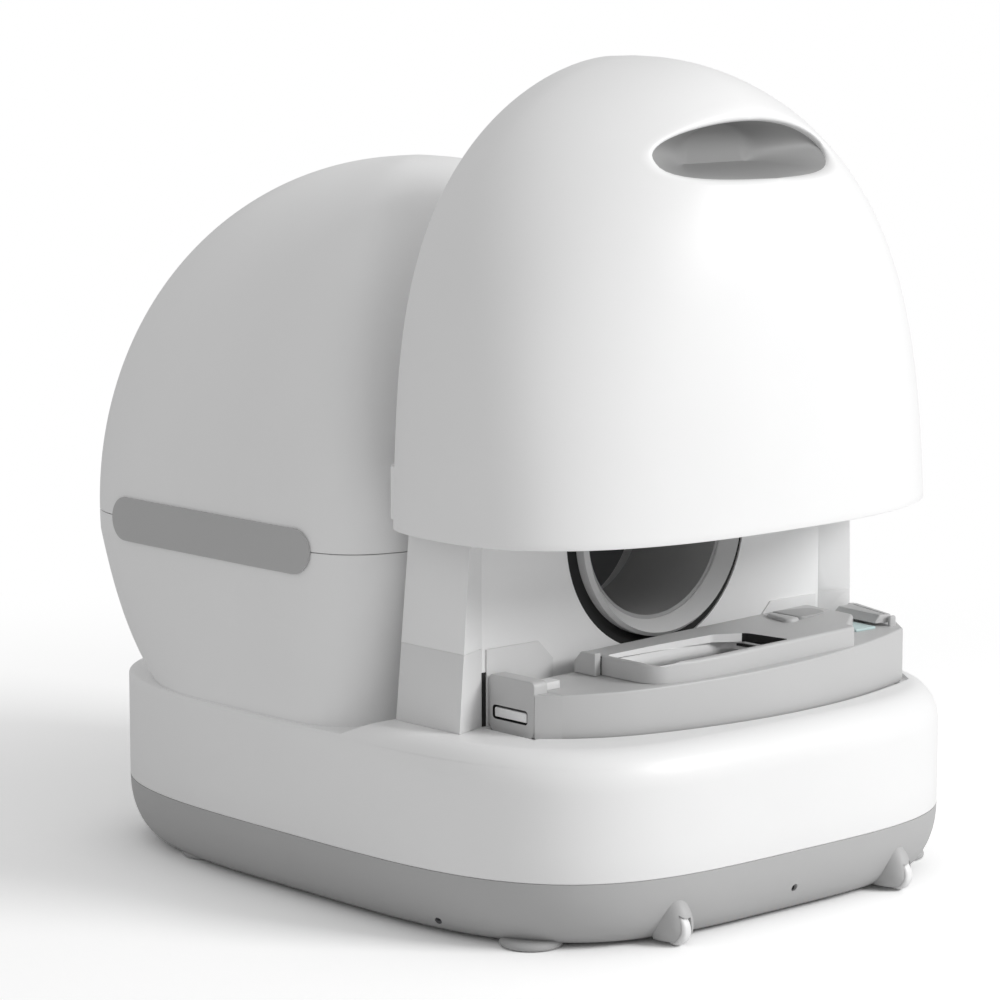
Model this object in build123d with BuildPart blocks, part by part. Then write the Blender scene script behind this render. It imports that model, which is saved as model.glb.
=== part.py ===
"""Self cleaning litter box with a lift-up rear cover, a rotating drum and a bagging tray.

Millimetres. X = 0 is the middle plane, -Y is the waste side, +Y the cat's entrance,
+Z is up and Z = 0 is the floor. The rear cover is drawn raised by its full lift.
"""
import math
import os

from build123d import *

os.makedirs("parts", exist_ok=True)

# Base
base_half_width = 255.0
base_half_length = 306.0
base_power = 3.78
pan_bottom_z = 2.0
pan_seam_z = 52.9
pan_edge_inset = 26.0
rim_z = 140.0
deck_z = 150.0
deck_ramp_front_y = -84.0
deck_ramp_rear_y = -62.0
shoulder_rear_y = 27.0
deck_thickness = 6.5
shoulder_drop = 30.0
shoulder_inset = 24.0
shoulder_blend = 90.0
base_wall = 3.0

# Housing, the big rounded shell round the drum
housing_half_width = 249.0
housing_rear_reach = 180.5
housing_front_reach = 187.0
housing_low_front_reach = 162.0
housing_centre_y = 112.0
housing_lean_share = 0.091
housing_waist_z = 258.5
housing_seam_z = 274.0
housing_top_z = 559.0
housing_dome_power = 2.04
housing_front_power = 7.2
housing_rear_power = 6.1
housing_low_power = 2.57
housing_wall = 3.2
seam_gap = 0.4

# Rear cover, at its raised place
cover_half_width = 234.0
cover_front_y = -294.9
cover_centre_y = -156.0
cover_apex_y = -121.3
cover_rim_z = 298.0
cover_top_z = 647.6
cover_power = 2.63
cover_top_power = 1.68
cover_back_y = -94.0
cover_wall = 3.2
cover_lift = 147.5

# Drum and what turns it
axis_z = 284.0
drum_radius = 205.0
drum_wall = 3.0
drum_front_y = 28.0
drum_rear_y = 196.0
drum_neck_radius = 84.0
drum_neck_front_y = -96.0
drum_neck_rear_y = -42.0
drum_mouth_radius = 121.0
drum_mouth_y = 255.0
gear_module = 3.5
gear_teeth = 120
pinion_teeth = 12
gear_width = 12.0
gear_y = 112.0
pinion_angle = -50.0
roller_radius = 15.0
roller_width = 16.0
roller_half_spread = 126.4
shaft_radius = 3.0

# Entrance side
entrance_radius = 128.0
entrance_wall = 9.7
entrance_inner_y = 258.0
entrance_outer_y = 298.0

# Service side
wall_y = -150.0
wall_thickness = 3.5
wall_half_width = 184.0
port_hole_radius = 97.0
port_ring_radius = 86.0
port_ring_proud = 10.0
chute_radius = 71.0
column_top_z = 300.0
column_joint_z = 210.0
tray_floor_z = 147.0
tray_left_x = -166.0
tray_right_x = 208.0
tray_back_y = -164.0
tray_mid_top_z = 186.3
tray_slope_share = 0.0255

# Clearances
running_gap = 0.3
pin_gap = 0.05
fit_gap = 0.4
cut_over = 5.0
outline_steps = 48
tau = 2 * math.pi


def rounded_outline(half_x, front, rear, centre_y, front_power, rear_power):
    """Points of a closed rounded outline that reaches front and rear by its own lengths."""
    points = []
    for step in range(outline_steps):
        angle = tau * step / outline_steps
        behind = math.sin(angle) >= 0
        reach = rear if behind else front
        power = rear_power if behind else front_power
        across = abs(math.cos(angle) / half_x) ** power
        along = abs(math.sin(angle) / reach) ** power
        radius = (across + along) ** (-1 / power)
        points.append((radius * math.cos(angle), centre_y + radius * math.sin(angle)))
    return points


def outline_face(points, height):
    """A flat face inside a smooth closed curve, at a height."""
    with BuildSketch(Plane.XY.offset(height)) as flat:
        with BuildLine():
            Spline(*points, periodic=True)
        make_face()
    return flat.sketch.face()


def base_outline(inset):
    half_length = base_half_length - inset
    return rounded_outline(
        base_half_width - inset, half_length, half_length, 0, base_power, base_power
    )


def pan_layers(inset, floor_z):
    """Sections of the pan's curved side, from its floor to its top edge."""
    faces = []
    for step in range(7):
        turn = math.pi / 2 * (1 - step / 6)
        height = pan_seam_z - (pan_seam_z - floor_z) * math.sin(turn)
        side = inset + pan_edge_inset * (1 - math.cos(turn))
        faces.append(outline_face(base_outline(side), height))
    return faces


def shoulder_outline(height, inset):
    """Base outline near the deck: the front edge rounds over and the rear stays upright."""
    rise = min(1, max(0, (height - deck_z + shoulder_drop) / shoulder_drop))
    round_in = shoulder_inset * (1 - math.sqrt(1 - rise**2))
    points = []
    for x, y in base_outline(inset):
        share = min(1, max(0, (shoulder_rear_y - y) / shoulder_blend))
        pull = 1 - round_in * share * share * (3 - 2 * share) / math.hypot(x, y)
        points.append((x * pull, y * pull))
    return points


def shoulder_layers(inset, top_z):
    """Sections of the upright band, from the pan's edge to the rounded shoulder."""
    start_z = deck_z - shoulder_drop
    faces = [outline_face(shoulder_outline(pan_seam_z, inset), pan_seam_z)]
    top_turn = math.asin(min(1, (top_z - start_z) / shoulder_drop))
    for step in range(7):
        height = start_z + shoulder_drop * math.sin(top_turn * step / 6)
        faces.append(outline_face(shoulder_outline(height, inset), height))
    return faces


def housing_outline(height, inset):
    """Outline of the housing at a height, moved inwards by inset."""
    centre = housing_centre_y + housing_lean_share * (height - housing_waist_z)
    close = 1
    front = housing_front_reach
    rear_power = housing_rear_power
    if height > housing_waist_z:
        share = (height - housing_waist_z) / (housing_top_z - inset - housing_waist_z)
        close = (1 - share**housing_dome_power) ** (1 / housing_dome_power)
    else:
        drop = (housing_waist_z - height) / (housing_waist_z - rim_z)
        front = front - (housing_front_reach - housing_low_front_reach) * drop
        rear_power = rear_power - (housing_rear_power - housing_low_power) * drop
    return rounded_outline(
        (housing_half_width - inset) * close,
        (front - inset) * close,
        (housing_rear_reach - inset) * close,
        centre,
        housing_front_power,
        rear_power,
    )


def lower_layers(inset, low_z, high_z):
    """Sections of the housing below its seam."""
    faces = []
    for step in range(6):
        height = low_z + (high_z - low_z) * step / 5
        faces.append(outline_face(housing_outline(height, inset), height))
    return faces


dome_level_shares = [0, 0.1, 0.24, 0.38, 0.52, 0.65, 0.77, 0.87, 0.94, 0.98, 0.995]


def upper_layers(inset, low_z):
    """Sections of the housing above its seam."""
    faces = []
    for share in dome_level_shares:
        height = low_z + (housing_top_z - inset - low_z) * share
        faces.append(outline_face(housing_outline(height, inset), height))
    return faces


cover_level_shares = [0, 0.12, 0.25, 0.38, 0.5, 0.62, 0.73, 0.82, 0.9, 0.955, 0.985, 0.996]
cover_side_powers = (3.142, 1.744)
cover_front_powers = (5.216, 2.232)


def cover_layers(inset, low_z):
    """Sections of the rear cover, from its rim to its top."""
    faces = []
    for level in cover_level_shares:
        height = low_z + (cover_top_z - inset - low_z) * level
        share = max(0, (height - cover_rim_z) / (cover_top_z - inset - cover_rim_z))
        wide = (1 - share ** cover_side_powers[0]) ** (1 / cover_side_powers[1])
        deep = (1 - share ** cover_front_powers[0]) ** (1 / cover_front_powers[1])
        centre = cover_centre_y + (cover_apex_y - cover_centre_y) * share**2
        reach = centre - cover_apex_y - (cover_front_y + inset - cover_apex_y) * deep
        power = cover_power + (cover_top_power - cover_power) * share
        half_x = (cover_half_width - inset) * wide
        faces.append(
            outline_face(rounded_outline(half_x, reach, reach, centre, power, power), height)
        )
    return faces


def along_y(y, x=0, z=axis_z):
    """Workplane square to the Y axis that faces +Y, so its local X runs to -X."""
    return Plane(origin=(x, y, z), x_dir=(-1, 0, 0), z_dir=(0, 1, 0))


# Base pan: the bottom tub with its curved edge, board posts and screw holes
post_radius = 3.5
post_top_z = 20.0
board_x = -185.0
board_y = 112.0
board_width = 64.0
board_length = 96.0
post_edge = 6.0
screw_radius = 3.0
screw_length = 6.0
screw_sink = 3.0
screw_front_z = 23.0
screw_side_z = 12.0
screw_side_turn = 55.8
screw_places = [
    (0, screw_front_z),
    (screw_side_turn, screw_side_z),
    (-screw_side_turn, screw_side_z),
]

with BuildPart() as pan_body:
    loft(pan_layers(0, pan_bottom_z))
with BuildPart() as base_pan:
    add(pan_body.part)
    loft(pan_layers(base_wall, pan_bottom_z + base_wall), mode=Mode.SUBTRACT)
    with BuildSketch(Plane.XY.offset(pan_bottom_z + base_wall)):
        with Locations((board_x, board_y)):
            with GridLocations(
                board_width - 2 * post_edge, board_length - 2 * post_edge, 2, 2
            ):
                Circle(post_radius)
    extrude(amount=post_top_z - pan_bottom_z - base_wall)


def pan_wall_point(turn, height):
    """Place on the pan's outer side at a height, and how far round it lies."""
    drop = (pan_seam_z - height) / (pan_seam_z - pan_bottom_z)
    inset = pan_edge_inset * (1 - math.sqrt(1 - drop**2))
    angle = math.radians(turn - 90)
    across = abs(math.cos(angle) / (base_half_width - inset)) ** base_power
    along = abs(math.sin(angle) / (base_half_length - inset)) ** base_power
    radius = (across + along) ** (-1 / base_power)
    return radius * math.cos(angle), radius * math.sin(angle), angle


screw_planes = []
for turn, screw_z in screw_places:
    screw_x, screw_y, screw_angle = pan_wall_point(turn, screw_z)
    out_dir = (math.cos(screw_angle), math.sin(screw_angle), 0)
    side_dir = (-math.sin(screw_angle), math.cos(screw_angle), 0)
    screw_planes.append(Plane(origin=(screw_x, screw_y, screw_z), x_dir=side_dir, z_dir=out_dir))
with BuildPart() as screw_holes:
    for screw_plane in screw_planes:
        with BuildSketch(screw_plane.offset(cut_over)):
            Circle(screw_radius)
        extrude(amount=-cut_over - screw_sink - screw_length)
with BuildPart() as pan_screws:
    for screw_plane in screw_planes:
        with BuildSketch(screw_plane.offset(-screw_sink)):
            Circle(screw_radius - pin_gap)
            Rectangle(screw_radius * 1.2, screw_radius * 0.3, mode=Mode.SUBTRACT)
        extrude(amount=-screw_length)
with base_pan:
    add(screw_holes.part, mode=Mode.SUBTRACT)

# Rubber feet: four discs that reach up to the pan
foot_radius = 24.0
foot_front = (200.0, 223.0)
foot_rear = (206.0, 154.0)
with BuildPart() as rubber_feet:
    with BuildSketch():
        with Locations(
            (foot_front[0], -foot_front[1]),
            (-foot_front[0], -foot_front[1]),
            (foot_rear[0], foot_rear[1]),
            (-foot_rear[0], foot_rear[1]),
        ):
            Circle(foot_radius)
    extrude(amount=pan_bottom_z + base_wall + foot_radius / 4)
    add(pan_body.part, mode=Mode.SUBTRACT)

# Casters: a rounded housing at the pan's front edge round a small wheel on an axle
caster_x = 122.0
caster_width = 25.0
caster_front_y = -310.0
caster_rear_y = -264.0
caster_top_z = 43.0
caster_foot_z = 3.0
wheel_radius = 12.5
wheel_width = 8.0
wheel_y = -297.0
wheel_slot = 9.4
wheel_swing = 14.0
axle_radius = 1.6
caster_round = 10.5
caster_profile_shares = [(0, 0.42), (0.03, 0.72), (0.22, 0.97)]


def caster_point(share_y, share_z):
    y = caster_front_y + (caster_rear_y - caster_front_y) * share_y
    return y, caster_foot_z + (caster_top_z - caster_foot_z) * share_z


with BuildPart() as caster_housings:
    with BuildSketch(Plane.YZ.offset(caster_x - caster_width / 2)):
        with BuildLine():
            nose = Spline(
                caster_point(0.28, 0),
                *[caster_point(*share) for share in caster_profile_shares],
                caster_point(0.55, 1),
                tangents=((-1, 0), (1, 0)),
            )
            Polyline(nose @ 1, caster_point(1, 1), caster_point(1, 0), nose @ 0)
        make_face()
    extrude(amount=caster_width)
    caster_sides = caster_housings.faces().filter_by(Axis.X)
    caster_rims = [
        edge
        for side in caster_sides
        for edge in side.edges()
        if edge.center().Y < caster_rear_y - fit_gap
    ]
    fillet(caster_rims, caster_round)
    with BuildSketch(Plane.YZ.offset(caster_x - wheel_slot / 2)):
        with Locations((wheel_y, wheel_radius)):
            Circle(wheel_swing)
    extrude(amount=wheel_slot, mode=Mode.SUBTRACT)
    with BuildSketch(Plane.YZ.offset(caster_x - caster_width)):
        with Locations((wheel_y, wheel_radius)):
            Circle(axle_radius)
    extrude(amount=2 * caster_width, mode=Mode.SUBTRACT)
    add(pan_body.part, mode=Mode.SUBTRACT)
    mirror(about=Plane.YZ)
with BuildPart() as wheel_pockets:
    with BuildSketch(Plane.YZ.offset(caster_x - wheel_slot / 2)):
        with Locations((wheel_y, wheel_radius)):
            Circle(wheel_swing)
    extrude(amount=wheel_slot)
    mirror(about=Plane.YZ)
with base_pan:
    add(wheel_pockets.part, mode=Mode.SUBTRACT)
with BuildPart() as caster_axles:
    for side in (-1, 1):
        with BuildSketch(Plane.YZ.offset(side * caster_x - caster_width * 0.36)):
            with Locations((wheel_y, wheel_radius)):
                Circle(axle_radius)
        extrude(amount=caster_width * 0.72)


def caster_wheel(side):
    """A small wheel with a rounded tread and a bore for its axle."""
    with BuildPart() as wheel:
        with BuildSketch(Plane.YZ.offset(side * caster_x - wheel_width / 2)):
            with Locations((wheel_y, wheel_radius)):
                Circle(wheel_radius)
        extrude(amount=wheel_width)
        fillet(wheel.edges(), wheel_width * 0.3)
        with BuildSketch(Plane.YZ.offset(side * caster_x - wheel_width)):
            with Locations((wheel_y, wheel_radius)):
                Circle(axle_radius + pin_gap)
        extrude(amount=2 * wheel_width, mode=Mode.SUBTRACT)
    return wheel.part


with BuildPart() as caster_wheel_left:
    add(caster_wheel(-1))
with BuildPart() as caster_wheel_right:
    add(caster_wheel(1))

# Load cells: four bars on the pan's floor, inboard of the feet
cell_length = 34.0
cell_width = 14.0
cell_height = 9.0
with BuildPart() as load_cells:
    with BuildSketch(Plane.XY.offset(pan_bottom_z + base_wall)):
        with Locations(
            (foot_front[0] * 0.86, -foot_front[1] * 0.86),
            (-foot_front[0] * 0.86, -foot_front[1] * 0.86),
            (foot_rear[0] * 0.88, foot_rear[1]),
            (-foot_rear[0] * 0.88, foot_rear[1] * 1.25),
        ):
            Rectangle(cell_length, cell_width)
    extrude(amount=cell_height)

# Tray outline: shared by the tray and by the pocket in the deck
tray_bow_left = (-110.0, -246.5)
tray_bow_middle = (25.0, -266.0)
tray_bow_right = (190.0, -237.5)
tray_corner = 24.0
tray_edge_round = 10.0
tray_turn_y = -214.0
pocket_gap = 5.0
cap_left_x = -180.0
cap_front_y = -204.0
cap_back_y = -153.5
cap_gap = 0.2
horn_tip = 1.2


def tray_outline(grow):
    """Face of the tray's plan: a straight back, a bowed front and straight ends."""
    with BuildSketch() as plan:
        with BuildLine():
            bow = ThreePointArc(
                (tray_bow_left[0], tray_bow_left[1] - grow),
                (tray_bow_middle[0], tray_bow_middle[1] - grow),
                (tray_bow_right[0] + grow / 2, tray_bow_right[1] - grow),
            )
            turn = TangentArc(
                bow @ 0, (tray_left_x - grow, tray_turn_y - grow), tangent=(bow % 0) * -1
            )
            Polyline(
                bow @ 1,
                (tray_right_x + grow, tray_bow_right[1] + tray_corner),
                (tray_right_x + grow, tray_back_y + grow),
                (tray_left_x - grow, tray_back_y + grow),
                turn @ 1,
            )
        make_face()
    return plan.sketch.face()


def tray_horn(grow, back_y):
    """Face of the tray's plan in front of the end cap, up to back_y."""
    with BuildSketch() as plan:
        with BuildLine():
            Polyline(
                (cap_left_x - grow, back_y),
                (cap_left_x - grow, cap_front_y - cap_gap - grow - horn_tip),
                (tray_left_x + cap_gap, tray_turn_y - grow),
                (tray_left_x + cap_gap, back_y),
                close=True,
            )
        make_face()
    return plan.sketch.face()


# Base housing: the white band with the deck, the drive bay and the tray pocket. The
# deck rises by a ramp between the housing's front and the columns.
bay_ledge = 24.0
bay_half_width = 225.0
bay_side_front_y = 10.0
bay_side_back_y = 192.0
bin_corner = 10.0
bin_left_x = -97.0
bin_right_x = 107.0
bin_front_y = -242.0
bin_back_y = -170.0
pocket_floor_z = tray_floor_z - running_gap
inlet_x = 90.0
inlet_z = 72.0
inlet_width = 18.0
inlet_height = 12.0
panel_z = 101.0
panel_width = 118.0
panel_height = 40.0
panel_front_y = 310.0
panel_depth = 12.0
with BuildPart() as band_body:
    loft(shoulder_layers(0, deck_z), ruled=True)
with BuildPart() as band_cavity:
    loft(shoulder_layers(base_wall, deck_z - deck_thickness), ruled=True)
    with BuildSketch(Plane.XY.offset(rim_z - base_wall)):
        with Locations((0, deck_ramp_front_y - base_wall)):
            Rectangle(
                3 * base_half_width, 2 * base_half_length, align=(Align.CENTER, Align.MIN)
            )
    extrude(amount=deck_z, mode=Mode.SUBTRACT)
with BuildPart() as base_housing:
    add(band_body.part)
    with BuildSketch(Plane.YZ):
        with BuildLine():
            Polyline(
                (deck_ramp_front_y, 2 * deck_z),
                (deck_ramp_front_y, deck_z),
                (deck_ramp_rear_y, rim_z),
                (2 * base_half_length, rim_z),
                (2 * base_half_length, 2 * deck_z),
                close=True,
            )
        make_face()
    extrude(amount=2 * base_half_width, both=True, mode=Mode.SUBTRACT)
    add(band_cavity.part, mode=Mode.SUBTRACT)
    bay = outline_face(housing_outline(rim_z, bay_ledge), pan_seam_z + base_wall)
    extrude(bay, amount=deck_z, dir=(0, 0, 1), mode=Mode.SUBTRACT)
    with BuildSketch(Plane.XY.offset(pan_seam_z + base_wall)):
        with Locations((0, (bay_side_front_y + bay_side_back_y) / 2)):
            Rectangle(2 * bay_half_width, bay_side_back_y - bay_side_front_y)
    extrude(amount=deck_z, mode=Mode.SUBTRACT)
    with BuildSketch(Plane.XY.offset(pocket_floor_z)):
        add(tray_outline(pocket_gap))
        add(tray_horn(pocket_gap, cap_back_y))
    extrude(amount=deck_z, mode=Mode.SUBTRACT)
    with BuildSketch(Plane.XY.offset(pan_seam_z + base_wall)):
        with Locations(((bin_left_x + bin_right_x) / 2, (bin_front_y + bin_back_y) / 2)):
            RectangleRounded(
                bin_right_x - bin_left_x + 2 * fit_gap,
                bin_back_y - bin_front_y + 2 * fit_gap,
                bin_corner,
            )
    extrude(amount=deck_z, mode=Mode.SUBTRACT)
    with BuildSketch(along_y(base_half_length * 0.9, 0, panel_z)):
        RectangleRounded(panel_width, panel_height, panel_height / 4)
    extrude(amount=base_half_length, mode=Mode.SUBTRACT)
    with BuildSketch(along_y(base_half_length * 0.9, inlet_x, inlet_z)):
        Rectangle(inlet_width, inlet_height)
    extrude(amount=base_half_length, mode=Mode.SUBTRACT)

# Control panel on the entrance side, with its window and two buttons
window_width = 44.0
window_height = 20.0
window_depth = 2.0
button_radius = 8.0
button_spread = 40.0
button_travel = 1.5
button_length = 6.0
with BuildPart() as control_panel:
    with BuildSketch(along_y(panel_front_y, 0, panel_z)):
        RectangleRounded(panel_width, panel_height, panel_height / 4)
    extrude(amount=-panel_depth)
    fillet(control_panel.faces().sort_by(Axis.Y)[-1].edges(), base_wall / 2)
    with BuildSketch(along_y(panel_front_y, 0, panel_z)):
        RectangleRounded(window_width, window_height, window_height / 5)
    extrude(amount=-window_depth, mode=Mode.SUBTRACT)
    with BuildSketch(along_y(panel_front_y, 0, panel_z)):
        with GridLocations(2 * button_spread, 0, 2, 1):
            Circle(button_radius + running_gap)
    extrude(amount=-button_length - button_travel - running_gap, mode=Mode.SUBTRACT)
with BuildPart() as display_window:
    with BuildSketch(along_y(panel_front_y - window_depth, 0, panel_z)):
        RectangleRounded(window_width, window_height, window_height / 5)
    extrude(amount=window_depth)


def panel_button(side):
    """Round button, its head level with the panel's face."""
    with BuildPart() as button:
        with BuildSketch(along_y(panel_front_y, side * button_spread, panel_z)):
            Circle(button_radius)
        extrude(amount=-button_length)
        fillet(button.faces().sort_by(Axis.Y)[-1].edges(), button_travel / 2)
    return button.part


with BuildPart() as button_left:
    add(panel_button(-1))
with BuildPart() as button_right:
    add(panel_button(1))
with BuildPart() as power_inlet:
    with BuildSketch(along_y(base_half_length - base_wall, inlet_x, inlet_z)):
        Rectangle(inlet_width, inlet_height)
        Circle(inlet_height / 4, mode=Mode.SUBTRACT)
    extrude(amount=-inlet_width)
    with BuildSketch(along_y(base_half_length - base_wall - inlet_width, inlet_x, inlet_z)):
        Rectangle(inlet_width + 2 * base_wall, inlet_height + 2 * base_wall)
    extrude(amount=inlet_width / 2)

# Lower and upper shells of the housing, with the neck hole and the entrance hole
neck_hole_gap = 4.0
neck_hole_radius = drum_neck_radius + neck_hole_gap
with BuildPart() as shell_holes:
    with BuildSketch(along_y(housing_centre_y)):
        Circle(neck_hole_radius)
        Rectangle(
            2 * neck_hole_radius, axis_z - housing_seam_z + cut_over, align=(Align.CENTER, Align.MAX)
        )
    extrude(amount=-2 * base_half_length)
    with BuildSketch(along_y(housing_centre_y)):
        Circle(entrance_radius)
        Rectangle(
            2 * entrance_radius, axis_z - housing_seam_z + cut_over, align=(Align.CENTER, Align.MAX)
        )
    extrude(amount=2 * base_half_length)
with BuildPart() as lower_shell:
    loft(lower_layers(0, rim_z, housing_seam_z))
    loft(
        lower_layers(housing_wall, rim_z - cut_over, housing_seam_z + cut_over),
        mode=Mode.SUBTRACT,
    )
    add(shell_holes.part, mode=Mode.SUBTRACT)
with BuildPart() as upper_shell:
    loft(upper_layers(0, housing_seam_z + seam_gap))
    loft(upper_layers(housing_wall, housing_seam_z - cut_over), mode=Mode.SUBTRACT)
    add(shell_holes.part, mode=Mode.SUBTRACT)

# Side strips: conforming bands across the seam, carried by the upper shell
strip_front_y = -19.0
strip_rear_y = 230.0
strip_height = 35.0
strip_z = 273.5
strip_tilt = 1.0
strip_proud = 1.5
with BuildPart() as strip_prisms:
    strip_plane = Plane(
        origin=(0, (strip_front_y + strip_rear_y) / 2, strip_z), x_dir=(0, 1, 0), z_dir=(1, 0, 0)
    ).rotated((0, 0, strip_tilt))
    with BuildSketch(strip_plane):
        SlotOverall(strip_rear_y - strip_front_y, strip_height)
    extrude(amount=2 * base_half_width, both=True)


def strip_band(grow):
    """The part of the grown housing that the strips lie in."""
    half_band = strip_height
    heights = [strip_z - half_band, strip_z - half_band / 2, strip_z, strip_z + half_band]
    return [outline_face(housing_outline(height, -grow), height) for height in heights]


with BuildPart() as side_strips:
    loft(strip_band(strip_proud + running_gap))
    loft(strip_band(running_gap), mode=Mode.SUBTRACT)
    add(strip_prisms.part, mode=Mode.INTERSECT)
with BuildPart() as side_strip_left:
    add(side_strips.part.solids().sort_by(Axis.X)[0])
with BuildPart() as side_strip_right:
    add(side_strips.part.solids().sort_by(Axis.X)[-1])

# Entrance ring with its sensor window
sensor_radius = 3.2
sensor_depth = 2.0
with BuildPart() as entrance_ring:
    with BuildSketch(along_y(entrance_inner_y)):
        Circle(entrance_radius - running_gap)
        Circle(entrance_radius - entrance_wall, mode=Mode.SUBTRACT)
    extrude(amount=entrance_outer_y - entrance_inner_y)
    fillet(entrance_ring.faces().sort_by(Axis.Y)[-1].edges(), entrance_wall / 4)
    with BuildSketch(along_y(entrance_outer_y, 0, axis_z + entrance_radius - entrance_wall / 2)):
        Circle(sensor_radius)
    extrude(amount=-sensor_depth, mode=Mode.SUBTRACT)
with BuildPart() as sensor_window:
    with BuildSketch(along_y(entrance_outer_y, 0, axis_z + entrance_radius - entrance_wall / 2)):
        Circle(sensor_radius)
    extrude(amount=-sensor_depth)

# Drum: a hollow turned body with a neck at the front and a mouth at the rear
front_shares = [(0.22, 0.17), (0.5, 0.4), (0.76, 0.66), (0.93, 0.86)]
rear_shares = [(0.1, 0.25), (0.36, 0.55), (0.66, 0.82)]


def drum_front_points(inset):
    """Radius and place of the front half's outer line, from the neck to the joint."""
    rise = drum_radius - drum_neck_radius
    run = drum_front_y - drum_neck_rear_y
    points = [
        (drum_neck_radius - inset, drum_neck_front_y),
        (drum_neck_radius - inset, drum_neck_rear_y + inset / 2),
    ]
    for out, along in front_shares:
        points.append((drum_neck_radius + rise * out - inset / 2, drum_neck_rear_y + run * along + inset))
    points.append((drum_radius - inset, drum_front_y + inset))
    return points


def drum_rear_points(inset):
    """Radius and place of the rear bowl's outer line, from the joint to the mouth."""
    fall = drum_radius - drum_mouth_radius
    run = drum_mouth_y - drum_rear_y
    points = [(drum_radius - inset, drum_rear_y - inset)]
    for fall_share, along in rear_shares:
        points.append((drum_radius - fall * fall_share - inset / 2, drum_rear_y + run * along - inset))
    points.append((drum_mouth_radius - inset / 2, drum_mouth_y - inset))
    return points


drum_plane = Plane(origin=(0, 0, axis_z), x_dir=(1, 0, 0), z_dir=(0, 0, 1))
drum_axis = Axis((0, 0, axis_z), (0, 1, 0))
drum_joint_y = 160.0
with BuildPart() as drum_shell:
    with BuildSketch(drum_plane):
        with BuildLine():
            Polyline(
                *drum_front_points(0),
                (drum_radius, drum_joint_y),
                (drum_radius - drum_wall, drum_joint_y),
                *reversed(drum_front_points(drum_wall)),
                close=True,
            )
        make_face()
    revolve(axis=drum_axis)
with BuildPart() as drum_rear:
    with BuildSketch(drum_plane):
        with BuildLine():
            Polyline(
                (drum_radius, drum_joint_y),
                *[(radius, y) for radius, y in drum_rear_points(0)][:-1],
                (drum_mouth_radius, drum_mouth_y),
                *reversed(drum_rear_points(drum_wall)),
                (drum_radius - drum_wall, drum_joint_y),
                close=True,
            )
        make_face()
    revolve(axis=drum_axis)
liner_thickness = 2.0
liner_front_y = drum_front_y + 2 * drum_wall
liner_rear_y = drum_rear_y - 2 * drum_wall
with BuildPart() as drum_liner:
    with BuildSketch(along_y(liner_front_y)):
        Circle(drum_radius - drum_wall)
        Circle(drum_radius - drum_wall - liner_thickness, mode=Mode.SUBTRACT)
    extrude(amount=liner_rear_y - liner_front_y)

# Sieve: a slotted fan across the front of the drum
sieve_y = 16.0
sieve_thickness = 3.0
sieve_inner_radius = 96.0
sieve_outer_radius = 186.8
sieve_arc = 100.0
sieve_slots = 13
sieve_slot_width = 6.0
with BuildPart() as sieve:
    with BuildSketch(along_y(sieve_y)):
        Circle(sieve_outer_radius)
        Circle(sieve_inner_radius, mode=Mode.SUBTRACT)
        with BuildLine():
            reach = 2 * sieve_outer_radius
            half_turn = math.radians(sieve_arc / 2)
            Polyline(
                (0, 0),
                (-reach * math.sin(half_turn), reach * math.cos(half_turn)),
                (reach * math.sin(half_turn), reach * math.cos(half_turn)),
                close=True,
            )
        make_face(mode=Mode.INTERSECT)
        with PolarLocations(
            (sieve_inner_radius + sieve_outer_radius) / 2,
            sieve_slots,
            start_angle=90 - sieve_arc * 0.44,
            angular_range=sieve_arc * 0.88,
            endpoint=True,
        ):
            SlotOverall(
                (sieve_outer_radius - sieve_inner_radius) * 0.78,
                sieve_slot_width,
                mode=Mode.SUBTRACT,
            )
    extrude(amount=sieve_thickness)

# Ring gear round the drum and the motor's pinion
tooth_half = 2.2
tooth_tip_half = 1.25
tooth_root_half = 3.3
addendum = 2.8
dedendum = 3.85
gear_pitch_radius = gear_module * gear_teeth / 2
pinion_pitch_radius = gear_module * pinion_teeth / 2
pinion_x = (gear_pitch_radius + pinion_pitch_radius) * math.cos(math.radians(pinion_angle))
pinion_z = axis_z + (gear_pitch_radius + pinion_pitch_radius) * math.sin(
    math.radians(pinion_angle)
)


def gear_points(pitch_radius, teeth, first_angle):
    """Corner points of a spur gear's outline with straight-sided teeth."""
    root = pitch_radius - dedendum
    tip = pitch_radius + addendum
    points = []
    for tooth in range(teeth):
        middle = math.radians(first_angle) + tau * tooth / teeth
        for radius, half in (
            (root, -tooth_root_half),
            (tip, -tooth_tip_half),
            (tip, tooth_tip_half),
            (root, tooth_root_half),
        ):
            angle = middle + half / radius
            points.append((radius * math.cos(angle), radius * math.sin(angle)))
    return points


def gear_plane(x, z, y):
    """Workplane whose local X runs to +X and local Y up, facing -Y."""
    return Plane(origin=(x, y, z), x_dir=(1, 0, 0), z_dir=(0, -1, 0))


with BuildPart() as ring_gear:
    with BuildSketch(gear_plane(0, axis_z, gear_y + gear_width / 2)):
        with BuildLine():
            Polyline(*gear_points(gear_pitch_radius, gear_teeth, pinion_angle), close=True)
        make_face()
        Circle(drum_radius, mode=Mode.SUBTRACT)
    extrude(amount=gear_width)
pinion_first = pinion_angle + 180 + 180 / pinion_teeth
shaft_out = 8.0
motor_gap = 2.0
motor_front_y = gear_y - gear_width / 2 - motor_gap
with BuildPart() as pinion:
    with BuildSketch(gear_plane(pinion_x, pinion_z, gear_y + gear_width / 2)):
        with BuildLine():
            Polyline(*gear_points(pinion_pitch_radius, pinion_teeth, pinion_first), close=True)
        make_face()
    extrude(amount=gear_width)
    with BuildSketch(gear_plane(pinion_x, pinion_z, gear_y)):
        Circle(shaft_radius)
    extrude(amount=gear_y - motor_front_y + shaft_out)

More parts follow.
